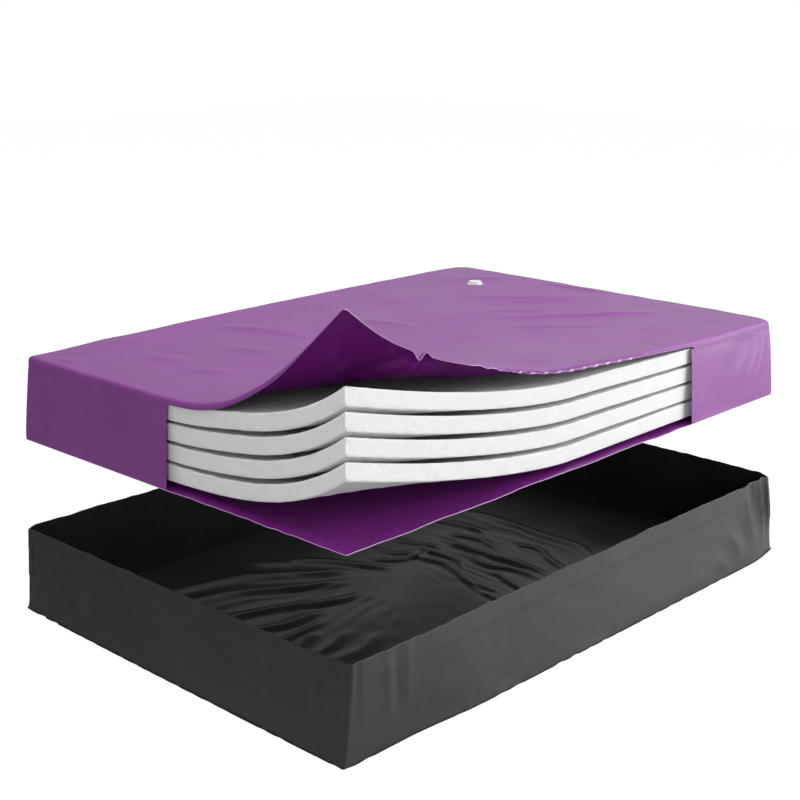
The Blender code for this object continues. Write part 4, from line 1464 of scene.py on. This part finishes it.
def build_liner_lap(context):
    """Lap strip along the top of the front wall, from gusset to gusset."""
    looks = context.scene.waterbed_liner
    proud = LAP_FILM + SEAT_GAP
    fold_end = LINER_CORNER_RADIUS + FOLD_LONG_ARM + 2 * SEAT_GAP
    films = film_materials(context, "liner_outside", "liner_inside", "liner_edge")

    def lap_path(inset):
        reach = HALF_LENGTH - inset - proud - fold_end
        place_x = np.linspace(-reach, reach, LAP_STEPS)
        return np.stack([place_x, np.full_like(place_x, inset - HALF_WIDTH)], axis=-1)

    heights = np.linspace(LAP_FOOT_HEIGHT, LINER_RIM_HEIGHT, LAP_ROWS)
    outer = liner_film_grid(lap_path, heights, proud, looks)
    outer, film = thin_ends(outer, LAP_FILM, LINER_LENGTH / LAP_STEPS)
    # The lap's free rim takes the pale edge colour, a painted highlight
    piece = film_piece("liner_lap", outer, film, *films, top_edge(outer))
    dress(piece, "liner", "liner_front_lap_strip")


# Mattress films


def rolled_rings():
    """Reach, drop and share of the hem at each ring of the sheet's edge, from the flat out."""
    rings = [(0.0, 0.0, 0.0), (MATTRESS_CORNER_RADIUS - EDGE_ROLL, 0.0, 0.0)]
    for k in range(1, ROLL_STEPS + 1):
        angle = QUARTER * k / ROLL_STEPS
        reach = MATTRESS_CORNER_RADIUS - EDGE_ROLL * (1 - math.sin(angle))
        rings.append((reach, EDGE_ROLL * (1 - math.cos(angle)), 0.0))
    for share in HEM_RINGS:
        rings.append((MATTRESS_CORNER_RADIUS, EDGE_ROLL, share))
    return np.array(rings)


def sheet_grid(looks):
    """Runs, drop, film, front cut and weld dashes of the top sheet's grid, edged by its hem. The
    front cut's rim and the dashes' faces take a pale colour, a painted highlight.

    Over a wall the hem is longer, thins out and laps the wall. Elsewhere it is free, and
    along the front it is flared out by the weld's slanting dashes.
    """
    rings = rolled_rings()
    count = len(rings) - 1
    low = RIM_INSET + MATTRESS_CORNER_RADIUS
    far = looks.far_step
    steps_x = (looks.near_step, far, far, RIGHT_STEP_SHARE * far)
    steps_y = (looks.near_step, BACK_STEP_SHARE * far)
    runs_x = paced(low, LINER_LENGTH - low, COARSE_RUNS_X, steps_x)
    runs_y = paced(low, LINER_WIDTH - low, COARSE_RUNS_Y, steps_y)
    last_x = len(runs_x) - 1
    last_y = len(runs_y) - 1
    i, j = np.meshgrid(
        np.arange(-count, last_x + count + 1), np.arange(-count, last_y + count + 1),
        indexing="ij",
    )
    over_x = np.maximum(np.maximum(-i, i - last_x), 0)
    over_y = np.maximum(np.maximum(-j, j - last_y), 0)
    ring = np.maximum(over_x, over_y)
    reach, roll_drop, hem_share = np.moveaxis(rings[ring], -1, 0)
    safe = np.maximum(ring, 1)
    angle = np.where(
        over_x >= over_y, QUARTER / 2 * over_y / safe, QUARTER - QUARTER / 2 * over_x / safe
    )
    centre_x = runs_x[np.clip(i, 0, last_x)]
    centre_y = runs_y[np.clip(j, 0, last_y)]
    cut_front = (j < 0) * (over_y >= over_x) * (1 - ramp((centre_x - FRONT_CUT_RUN) / CUT_BLEND))
    cut_left = (i < 0) * (over_x >= over_y) * (1 - ramp((centre_y - LEFT_CUT_RUN) / CUT_BLEND))
    closed = 1 - np.maximum(cut_front, cut_left)
    lapped = closed * ramp((hem_share - LAP_START) / (LAP_END - LAP_START))
    step_out = closed * (LAPPED_PROUD * ramp(hem_share / LAP_END) + HEM_PROUD * hem_share)
    slant = centre_x / looks.bead_length + DASH_SLANT * hem_share
    dashes = ramp(0.5 + np.sin(FULL_TURN * slant))
    dashed = ramp((centre_x - DASH_START) / DASH_RISE) * ramp((DASH_END - centre_x) / DASH_FALL)
    flared = cut_front * ramp((centre_x - HEM_FLARE_START) / HEM_FLARE_RISE)
    flared = flared * (1 - DASH_SHARE + DASH_SHARE * dashes * dashed)
    reach = reach + step_out + looks.bead_height * flared * hem_share
    run_x = centre_x + np.where(i < 0, -1, 1) * reach * np.cos(angle)
    run_y = centre_y + np.where(j < 0, -1, 1) * reach * np.sin(angle)
    drop = roll_drop + hem_share * (EDGE_HEM + SEAM_LAP * closed)
    lip_front = LIP_SHARE + (1 - LIP_SHARE) * ramp((centre_x - LIP_START) / LIP_RISE_FRONT)
    lip_left = LIP_SHARE + (1 - LIP_SHARE) * ramp((centre_y - RIM_INSET) / LIP_RISE_LEFT)
    drop = drop * np.where(centre_y < centre_x, lip_front, lip_left)
    film = MATTRESS_FILM - lapped * (MATTRESS_FILM - LAPPED_FILM + LAPPED_TAPER * hem_share)
    # Faces of the weld's dashes, which take the pale edge colour as a painted highlight
    highlight_dash = (dashes * dashed * flared > DASH_EDGE) & (hem_share > DASH_EDGE)
    return run_x, run_y, drop, film, cut_front > 0.5, highlight_dash


def sheet_lift(run_x, run_y, drop, looks):
    """How far the creases and lumps of the top sheet stand proud of its plain shape."""
    lumps = two_waves(run_x, run_y, *SHEET_LUMPS)
    creases = looks.crease_depth * crease_field(run_x, run_y, TOP_CREASES)
    free = ramp(1 - (drop - EDGE_ROLL) / EDGE_HEM)
    return (looks.lump_height * lumps + creases) * free


def lobe_step(run_x, run_y):
    """The crisp step of the fold that runs from the notch in over the flap, and its far slope."""
    line = fold_line(LOBE_EDGE, 10)
    over = np.interp(run_y, line[:, Y], line[:, X])
    beyond = run_x - over
    along = (run_y - line[0, Y]) / (line[-1, Y] - line[0, Y])
    taper = ramp(3 * (1 - along)) * ramp(6 * along) * ramp((LOBE_REACH - beyond) / LOBE_REACH)
    return -LOBE_DEPTH * ramp(beyond / LOBE_STEP) * taper


def notch_dip(run_x, run_y):
    """Drop of the front edge where a small fold notches it, with a peak beside it."""
    notch = NOTCH_DEPTH * np.exp(-((run_x - NOTCH_RUN) / NOTCH_HALF_WIDTH) ** 2)
    peak = PEAK_HEIGHT * np.exp(-((run_x - PEAK_RUN) / NOTCH_HALF_WIDTH) ** 2)
    return (notch - peak) * ramp(1 - (run_y - RIM_INSET) / NOTCH_LENGTH)


def crown(places):
    """Rise of the mattress's back edge, where the core fills it out."""
    share = np.clip((places[..., X] + HALF_LENGTH) / LINER_LENGTH, 0, 1)
    up = np.clip((places[..., Z] - UNDERSIDE) / (MATTRESS_TOP - UNDERSIDE), 0, 1)
    back = ramp(1 - (HALF_WIDTH - places[..., Y]) / CROWN_WIDTH)
    return CROWN_HEIGHT * np.sin(2 * QUARTER * share) * up * back


def corner_sag(run_x, run_y):
    """How far the sheet sags at its right and back corners, which are rounded from above."""
    gap_x = LINER_LENGTH - RIM_INSET - run_x
    at_right = ramp(1 - np.hypot(gap_x, run_y - RIM_INSET) / SAG_REACH)
    at_back = ramp(1 - np.hypot(gap_x, LINER_WIDTH - RIM_INSET - run_y) / SAG_REACH)
    return CORNER_SAG * (at_right + at_back)


def build_top_sheet(context):
    """Top sheet with rolled edges, peeled back at the near corner."""
    looks = context.scene.waterbed_mattress
    run_x, run_y, drop, film, front_cut, highlight_dash = sheet_grid(looks)
    place = sheet_place(run_x, run_y)
    step = SEAT_GAP
    slope_x = sheet_place(run_x + step, run_y) - sheet_place(run_x - step, run_y)
    slope_y = sheet_place(run_x, run_y + step) - sheet_place(run_x, run_y - step)
    normal = np.cross(slope_x, slope_y)
    normal = normal / np.linalg.norm(normal, axis=2, keepdims=True)
    lift = sheet_lift(run_x, run_y, drop, looks) + lobe_step(run_x, run_y)
    outer = place + normal * (lift - drop)[..., None]
    outer[..., Z] += crown(outer) - notch_dip(run_x, run_y) - corner_sag(run_x, run_y)
    films = film_materials(context, "vinyl_outside", "vinyl_inside", "vinyl_edge")
    # The front cut's rim and the weld's dashes take the pale edge colour, a painted highlight
    piece = film_piece("top_sheet", outer, film, *films, front_cut.astype(int), highlight_dash)
    dress(piece, "mattress", "mattress_top_sheet")


def wall_relief(side, run, height, looks):
    """How far a mattress wall stands out from its plane."""
    up = height - WALL_FOOT_HEIGHT
    share = up / (WALL_RIM_HEIGHT - WALL_FOOT_HEIGHT)
    seed = WALL_SEED + list(SIDES).index(side)
    waves = WALL_WAVE * slow_waves(run, up, WALL_WAVE_LENGTH, seed)
    creases = looks.crease_depth * crease_field(run, up, WALL_CREASES[side])
    held = ramp(share / WALL_HELD) * ramp((WALL_TOP_SHARE - share) / WALL_HELD)
    belly = WALL_BELLY * np.sin(2 * QUARTER * np.clip(share, 0, 1))
    return held * (waves + creases) + belly


def mattress_wall_grid(side, looks):
    """Grid of one mattress wall's outer face."""
    cuts = {
        "front": {"cut_start": FRONT_CUT_RUN - HALF_LENGTH},
        "left": {"cut_stop": LEFT_CUT_RUN - HALF_WIDTH},
    }
    path = wall_path(side, MATTRESS_RADII, WALL_STEP, **cuts.get(side, {}))
    foot = (FOOT_INSET, WALL_FOOT_HEIGHT)
    rim = (RIM_INSET, WALL_RIM_HEIGHT)
    heights = np.linspace(WALL_FOOT_HEIGHT, WALL_RIM_HEIGHT, WALL_ROWS)
    outer = leaning_grid(path, foot, rim, heights)
    if side in ("front", "back"):
        run = outer[..., X] + HALF_LENGTH
    else:
        run = outer[..., Y] + HALF_WIDTH
    relief = wall_relief(side, run, outer[..., Z], looks)
    outer = outer + grid_normals(outer) * relief[..., None]
    outer[..., Z] += crown(outer)
    return outer


def build_mattress_walls(context):
    """The four walls of the mattress, two of them cut short."""
    looks = context.scene.waterbed_mattress
    films = film_materials(context, "vinyl_outside", "vinyl_inside")
    for side in SIDES:
        outer = mattress_wall_grid(side, looks)
        piece = film_piece(f"{side}_wall", outer, MATTRESS_FILM, *films)
        dress(piece, "mattress", f"mattress_{side}_wall")


def build_bottom_sheet(context):
    """Bottom sheet, sharp at the cut corner, where its free edges wave a little."""
    half_x = HALF_LENGTH - FOOT_INSET
    half_y = HALF_WIDTH - FOOT_INSET
    steps = [round(2 * half / BOTTOM_STEP) for half in (half_x, half_y)]
    _, _, place_x, place_y = corner_grid(
        half_x, half_y, MATTRESS_CORNER_RADIUS, steps, lambda x, y: (x < 0) & (y < 0)
    )
    run_x = place_x + HALF_LENGTH
    run_y = place_y + HALF_WIDTH
    free_front = ramp((FRONT_CUT_RUN - run_x) / BOTTOM_FREE)
    free_front = free_front * ramp(1 - (run_y - FOOT_INSET) / BOTTOM_FREE)
    free_left = ramp((LEFT_CUT_RUN - run_y) / BOTTOM_FREE)
    free_left = free_left * ramp(1 - (run_x - FOOT_INSET) / BOTTOM_FREE)
    free = np.maximum(free_front, free_left)
    waves = 1 + slow_waves(run_x, run_y, *BOTTOM_WAVES) / 2
    waves = waves + slow_waves(run_x, run_y, *BOTTOM_RIPPLES) / 3
    lift = BOTTOM_WAVE * free * np.maximum(waves, 0)
    upper = np.stack([place_x, place_y, INNER_FLOOR + lift], axis=-1)
    # Its rim takes the pale edge colour, a painted highlight
    films = film_materials(context, "vinyl_lining", "vinyl_outside", "vinyl_edge")
    edged = np.ones(upper.shape[:2], int)
    piece = film_piece("bottom_sheet", upper, INNER_FLOOR - UNDERSIDE, *films, edged)
    dress(piece, "mattress", "mattress_bottom_sheet")


def build_corner_patches(context):
    """Doubling film behind the walls of the three closed corners."""
    behind = MATTRESS_FILM + SEAT_GAP
    slope = (RIM_INSET - FOOT_INSET) / (WALL_RIM_HEIGHT - WALL_FOOT_HEIGHT)
    low = WALL_FOOT_HEIGHT + PATCH_FOOT_GAP
    high = WALL_RIM_HEIGHT - PATCH_FOOT_GAP
    foot = (FOOT_INSET + slope * (low - WALL_FOOT_HEIGHT) + behind, low)
    rim = (FOOT_INSET + slope * (high - WALL_FOOT_HEIGHT) + behind, high)
    film = film_material(context, "vinyl_inside")
    radius = MATTRESS_CORNER_RADIUS - behind
    for corner in ("right", "back", "left"):
        path = wrap_path(corner, radius, PATCH_ARM, PATCH_ARM, PATCH_STEP)
        outer = leaning_grid(path, foot, rim, np.linspace(low, high, PATCH_ROWS))
        piece = film_piece(f"{corner}_doubler", outer, PATCH_FILM, film, film)
        dress(piece, "mattress", f"{corner}_corner_patch")


# Core


def slab_plan(share_x, share_y, inset):
    """Plan place on a slab whose outline is drawn in by inset, with three corners cut off."""
    low = FIBRE_INSET + inset
    run_x = low + share_x * (LINER_LENGTH - 2 * low)
    run_y = low + share_y * (LINER_WIDTH - 2 * low)
    far_x = (LINER_LENGTH - low - run_x) / FIBRE_CHAMFER
    far_y = (LINER_WIDTH - low - run_y) / FIBRE_CHAMFER
    near_x = (run_x - low) / FIBRE_CHAMFER
    near_y = (run_y - low) / FIBRE_CHAMFER
    for gap_x, gap_y, way_x, way_y in (
        (far_x, far_y, -1, -1), (far_x, near_y, -1, 1), (near_x, far_y, 1, -1),
    ):
        shift = FIBRE_CHAMFER / 2 * np.clip(1 - gap_x, 0, 1) * np.clip(1 - gap_y, 0, 1)
        run_x = run_x + way_x * shift
        run_y = run_y + way_y * shift
    return run_x, run_y


def build_slab(context, level):
    """One fleece slab with rounded edges and an uneven cut."""
    looks = context.scene.waterbed_core
    low = FIBRE_INSET
    shares = []
    for full in (LINER_LENGTH, LINER_WIDTH):
        steps = (looks.step, SLAB_COARSENING * looks.step)
        runs = paced(low, full - low, (low, full - low), steps)
        shares.append((runs - low) / (full - 2 * low))
    share_x, share_y = np.meshgrid(*shares, indexing="ij")
    rows, columns = share_x.shape
    seed = SLAB_SEED + level

    def place(run_x, run_y, down):
        height = layer_bottom(level, run_x, run_y) + FIBRE_THICKNESS - down
        return np.stack([run_x - HALF_LENGTH, run_y - HALF_WIDTH, height], axis=-1)

    run_x, run_y = slab_plan(share_x, share_y, looks.top_round)
    lumps = NAP * slow_waves(run_x, run_y, NAP_LENGTH, seed)
    upper = place(run_x, run_y, NAP - lumps)
    run_x, run_y = slab_plan(share_x, share_y, looks.foot_round)
    lower = place(run_x, run_y, FIBRE_THICKNESS - NAP - lumps)
    rim = grid_rim(rows, columns)
    rim_x = share_x.reshape(-1)[rim]
    rim_y = share_y.reshape(-1)[rim]
    loops = []
    arc = np.linspace(0, QUARTER, SLAB_ARC_PLACES)[1:]
    head = looks.top_round
    foot = looks.foot_round
    profile = [(head * (1 - math.sin(a)), NAP + (head - NAP) * (1 - math.cos(a))) for a in arc]
    side = np.linspace(head, FIBRE_THICKNESS - foot, SLAB_SIDE_PLACES)[1:-1]
    profile += [(0.0, down) for down in side]
    profile += [
        (foot * (1 - math.sin(a)), FIBRE_THICKNESS - NAP - (foot - NAP) * (1 - math.cos(a)))
        for a in arc[::-1]
    ]
    draw = np.random.default_rng(seed)
    around = np.arange(len(rim))
    cut_run = around * looks.step
    cut_seed = seed + CUT_SEED_STEP
    for inset, down in profile:
        waves = slow_waves(cut_run, np.full(len(rim), down), CUT_LENGTH, cut_seed)
        strands = draw.standard_normal(len(rim))
        rough = looks.cut_relief * (CUT_WAVES * waves + CUT_STRANDS * strands)
        weight = ramp(1 - inset / head)
        run_x, run_y = slab_plan(rim_x, rim_y, inset + (rough + looks.cut_relief) * weight)
        loops.append(place(run_x, run_y, down))
    count = rows * columns
    verts = np.concatenate([upper.reshape(-1, 3), lower.reshape(-1, 3), *loops])
    faces = [grid_quads(rows, columns), grid_quads(rows, columns, count)[:, ::-1]]
    before = rim
    for k in range(len(loops)):
        after = 2 * count + k * len(rim) + around
        faces.append(loop_quads(before, after))
        before = after
    faces.append(loop_quads(before, rim + count))
    name = f"fleece_{FIBRE_LAYERS - level}"
    # The upper and lower faces take a darker grey, painted shade in the gaps between slabs
    materials = [
        fleece_material(context, "fleece", looks.colour),
        fleece_material(context, "fleece_skin", looks.painted_shade_colour),
    ]
    flat_faces = len(faces[0]) + len(faces[1])
    faces = np.concatenate(faces)
    slots = (np.arange(len(faces)) < flat_faces).astype(int)
    piece = new_piece(name, verts, faces, materials, slots, SLAB_SHARP_ANGLE)
    dress(piece, "mattress", f"fibre_layer_{FIBRE_LAYERS - level}")


def build_corner_ties(context):
    """Webbing tie in each closed corner, from the bottom sheet up and over the core."""
    material = webbing_material()
    for corner in ("right", "back", "left"):
        side_x, side_y, _ = CORNERS[corner]
        inward = np.array([-side_x, -side_y]) / math.sqrt(2)
        across = np.array([-inward[1], inward[0]])
        middle = FIBRE_INSET + FIBRE_CHAMFER / 2
        face = np.array([side_x * (HALF_LENGTH - middle), side_y * (HALF_WIDTH - middle)])
        low = INNER_FLOOR + SEAT_GAP + TIE_FILM
        high = core_top(*(face + (HALF_LENGTH, HALF_WIDTH))) + SEAT_GAP + TIE_FILM
        outer = -SEAT_GAP - TIE_FILM
        bend = 2 * TIE_FILM
        turn = np.linspace(0, QUARTER, TIE_BEND_PLACES)
        foot_bend = [
            (outer - bend * (1 - math.sin(a)), low + bend * (1 - math.cos(a))) for a in turn
        ]
        rim_bend = [
            (outer + bend * (1 - math.cos(a)), high - bend * (1 - math.sin(a))) for a in turn
        ]
        route = [(outer - TIE_FOOT, low), *foot_bend, *rim_bend]
        route += [(depth, high) for depth in np.linspace(bend, TIE_ARM, TIE_ARM_PLACES)]
        widths = np.linspace(-TIE_WIDTH / 2, TIE_WIDTH / 2, TIE_ACROSS_PLACES)
        grid = np.zeros((len(route), len(widths), 3))
        for row, (depth, height) in enumerate(route):
            plan = face + inward * depth + across * widths[:, None]
            grid[row, :, :2] = plan
            grid[row, :, Z] = height
        piece = film_piece(f"{corner}_strap", grid, TIE_FILM, material, material)
        dress(piece, "mattress", f"{corner}_corner_tie")


def build_valve(context):
    """Finishes of the valve's moulded parts."""
    white = valve_material("valve_white", VALVE_COLOUR, VALVE_ROUGHNESS)
    cap_white = valve_material("valve_cap_white", CAP_COLOUR, CAP_ROUGHNESS)
    for node, material in (
        ("valve_neck", white), ("valve_plug", white), ("valve_cap", cap_white),
    ):
        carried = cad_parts[node]
        carried.data.materials.clear()
        carried.data.materials.append(material)


# Stage


def ray_white(tree, place, span, left_white):
    """Sockets of the white that camera and glossy rays see, and of 1 for any other ray.

    Gloss sees left_white on the unlit left side and 1 on the lit side. place is the socket of
    a place or a direction, and span how far it runs from the unlit side to the lit one.
    """
    path = add_node(tree, "ShaderNodeLightPath")
    lit_side = add_node(tree, "ShaderNodeVectorMath", {
        0: place, 1: (math.sqrt(0.5), -math.sqrt(0.5), 0.0),
    }, operation="DOT_PRODUCT").outputs["Value"]
    shade = map_range(tree, lit_side, -span, span, left_white, 1.0)
    gloss = math_node(
        tree, "MAXIMUM", path.outputs["Is Glossy Ray"], path.outputs["Is Transmission Ray"]
    )
    camera = path.outputs["Is Camera Ray"]
    white = math_node(tree, "MAXIMUM", camera, math_node(tree, "MULTIPLY", gloss, shade))
    other = math_node(tree, "SUBTRACT", 1.0, math_node(tree, "MAXIMUM", camera, gloss))
    return white, other


def build_floor(looks):
    """Pale floor that shows white and keeps the object's shadow."""
    corners = [
        (side_x * FLOOR_REACH, side_y * FLOOR_REACH, 0)
        for side_x, side_y in ((-1, -1), (1, -1), (1, 1), (-1, 1))
    ]
    material, tree, shader, _ = open_material("floor_white")
    shader.inputs["Base Color"].default_value = (*looks.floor_colour, 1.0)
    shader.inputs["Roughness"].default_value = 1.0
    shader.inputs["Specular IOR Level"].default_value = 0.0
    place = add_node(tree, "ShaderNodeNewGeometry").outputs["Position"]
    white, _ = ray_white(tree, place, FLOOR_SPAN, FLOOR_LEFT_WHITE)
    shader.inputs["Emission Color"].default_value = (1.0, 1.0, 1.0, 1.0)
    glow = math_node(tree, "MULTIPLY", white, looks.floor_glow)
    tree.links.new(glow, shader.inputs["Emission Strength"])
    floor = new_piece("studio_floor", corners, [(0, 1, 2, 3)], [material])
    floor.location.z = FLOOR_HEIGHT


def build_world(looks):
    """Light from all round, shown as plain white behind the object."""
    world = bpy.data.worlds.new("studio")
    world.use_nodes = True
    tree = world.node_tree
    backdrop = tree.nodes["Background"]
    backdrop.inputs["Color"].default_value = (1.0, 1.0, 1.0, 1.0)
    way = add_node(tree, "ShaderNodeTexCoord").outputs["Generated"]
    white, other = ray_white(tree, way, 1.0, WORLD_LEFT_WHITE)
    strength = math_node(tree, "MULTIPLY_ADD", other, looks.ambient, white)
    tree.links.new(strength, backdrop.inputs["Strength"])
    bpy.context.scene.world = world


def add_area_lamp(which, power):
    """A square area lamp that faces the middle of the object."""
    place, size = LAMPS[which]
    name = f"{which}_lamp"
    lamp = bpy.data.lights.new(name, "AREA")
    lamp.shape = "SQUARE"
    lamp.size = size
    lamp.energy = power
    obj = bpy.data.objects.new(name, lamp)
    obj.location = place
    middle = np.array([0, 0, (CAD_BOX[LOW][Z] + CAD_BOX[HIGH][Z]) / 2])
    away = obj.location - type(obj.location)(middle)
    obj.rotation_euler = away.to_track_quat("Z", "Y").to_euler()
    bpy.context.scene.collection.objects.link(obj)


def build_camera(looks):
    """Camera at the photograph's angle."""
    data = bpy.data.cameras.new("camera")
    data.lens = looks.lens
    data.clip_end = CAMERA_CLIP
    camera = bpy.data.objects.new("camera", data)
    camera.location = looks.camera_place
    camera.rotation_euler = (QUARTER - looks.camera_pitch, 0, looks.camera_yaw)
    bpy.context.scene.collection.objects.link(camera)
    bpy.context.scene.camera = camera


# Operators, one for each piece or group of like pieces


class BuildStage(bpy.types.Operator):
    """Add the camera, lamps, white surroundings and floor"""

    bl_idname = "waterbed.stage"
    bl_label = "Stage"

    def execute(self, context):
        looks = context.scene.waterbed_stage
        context.scene.view_settings.view_transform = "Standard"
        build_camera(looks)
        build_world(looks)
        build_floor(looks)
        add_area_lamp("key", looks.key_power)
        add_area_lamp("top", looks.top_power)
        add_area_lamp("fill", looks.fill_power)
        return {"FINISHED"}


class BuildLinerFloor(bpy.types.Operator):
    """Add the liner's folded floor"""

    bl_idname = "waterbed.liner_floor"
    bl_label = "Liner Floor"

    def execute(self, context):
        floor = build_liner_floor(context)
        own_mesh(floor)
        return {"FINISHED"}


class BuildLinerWalls(bpy.types.Operator):
    """Add the liner's four walls"""

    bl_idname = "waterbed.liner_walls"
    bl_label = "Liner Walls"

    def execute(self, context):
        build_liner_walls(context)
        return {"FINISHED"}


class BuildLinerGussets(bpy.types.Operator):
    """Add the gussets folded round the liner's corners"""

    bl_idname = "waterbed.liner_gussets"
    bl_label = "Liner Gussets"

    def execute(self, context):
        build_liner_gussets(context)
        return {"FINISHED"}


class BuildLinerLap(bpy.types.Operator):
    """Add the lap strip on the liner's front wall"""

    bl_idname = "waterbed.liner_lap"
    bl_label = "Liner Lap Strip"

    def execute(self, context):
        build_liner_lap(context)
        return {"FINISHED"}


class BuildTopSheet(bpy.types.Operator):
    """Add the peeled top sheet"""

    bl_idname = "waterbed.top_sheet"
    bl_label = "Top Sheet"

    def execute(self, context):
        build_top_sheet(context)
        return {"FINISHED"}


class BuildMattressWalls(bpy.types.Operator):
    """Add the mattress's four walls"""

    bl_idname = "waterbed.mattress_walls"
    bl_label = "Mattress Walls"

    def execute(self, context):
        build_mattress_walls(context)
        return {"FINISHED"}


class BuildCornerPatches(bpy.types.Operator):
    """Add the doublers behind the three closed corners"""

    bl_idname = "waterbed.corner_patches"
    bl_label = "Corner Doublers"

    def execute(self, context):
        build_corner_patches(context)
        return {"FINISHED"}


class BuildBottomSheet(bpy.types.Operator):
    """Add the bottom sheet"""

    bl_idname = "waterbed.bottom_sheet"
    bl_label = "Bottom Sheet"

    def execute(self, context):
        build_bottom_sheet(context)
        return {"FINISHED"}


class BuildFleece(bpy.types.Operator):
    """Add the four fleece slabs"""

    bl_idname = "waterbed.fleece"
    bl_label = "Fleece Slabs"

    def execute(self, context):
        for level in range(FIBRE_LAYERS):
            build_slab(context, level)
        return {"FINISHED"}


class BuildCornerTies(bpy.types.Operator):
    """Add the webbing ties that hold the fleece"""

    bl_idname = "waterbed.corner_ties"
    bl_label = "Corner Ties"

    def execute(self, context):
        build_corner_ties(context)
        return {"FINISHED"}


class BuildValve(bpy.types.Operator):
    """Finish the filling valve"""

    bl_idname = "waterbed.valve"
    bl_label = "Filling Valve"

    def execute(self, context):
        build_valve(context)
        return {"FINISHED"}


OPERATORS = (
    BuildStage, BuildLinerFloor, BuildLinerWalls, BuildLinerGussets, BuildLinerLap,
    BuildBottomSheet, BuildMattressWalls, BuildCornerPatches, BuildFleece, BuildCornerTies,
    BuildTopSheet, BuildValve,
)


class WaterbedPanel(bpy.types.Panel):
    """Sizes, colours and build steps of the waterbed"""

    bl_label = "Waterbed"
    bl_idname = "VIEW3D_PT_waterbed"
    bl_space_type = "VIEW_3D"
    bl_region_type = "UI"
    bl_category = "Waterbed"

    def draw(self, context):
        scene = context.scene
        for title, looks in (
            ("Liner", scene.waterbed_liner), ("Mattress", scene.waterbed_mattress),
            ("Core", scene.waterbed_core), ("Stage", scene.waterbed_stage),
        ):
            box = self.layout.box()
            box.label(text=title)
            for key in looks.__annotations__:
                box.prop(looks, key)
        for kind in OPERATORS:
            self.layout.operator(kind.bl_idname)


GROUPS = {
    "waterbed_liner": LinerLooks,
    "waterbed_mattress": MattressLooks,
    "waterbed_core": CoreLooks,
    "waterbed_stage": StageLooks,
}


def register():
    """Registers the classes and puts their settings on the scene."""
    for kind in (*GROUPS.values(), *OPERATORS, WaterbedPanel):
        bpy.utils.register_class(kind)
    for key, kind in GROUPS.items():
        setattr(bpy.types.Scene, key, bpy.props.PointerProperty(type=kind))


def unregister():
    """Takes the settings off the scene and the classes out again."""
    for key in GROUPS:
        delattr(bpy.types.Scene, key)
    for kind in (WaterbedPanel, *reversed(OPERATORS), *reversed(GROUPS.values())):
        bpy.utils.unregister_class(kind)


def main():
    """Builds all pieces and the stage."""
    register()
    bpy.ops.waterbed.stage()
    bpy.ops.waterbed.liner_floor()
    bpy.ops.waterbed.liner_walls()
    bpy.ops.waterbed.liner_gussets()
    bpy.ops.waterbed.liner_lap()
    bpy.ops.waterbed.bottom_sheet()
    bpy.ops.waterbed.mattress_walls()
    bpy.ops.waterbed.corner_patches()
    bpy.ops.waterbed.fleece()
    bpy.ops.waterbed.corner_ties()
    bpy.ops.waterbed.top_sheet()
    bpy.ops.waterbed.valve()


if __name__ == "__main__":
    main()
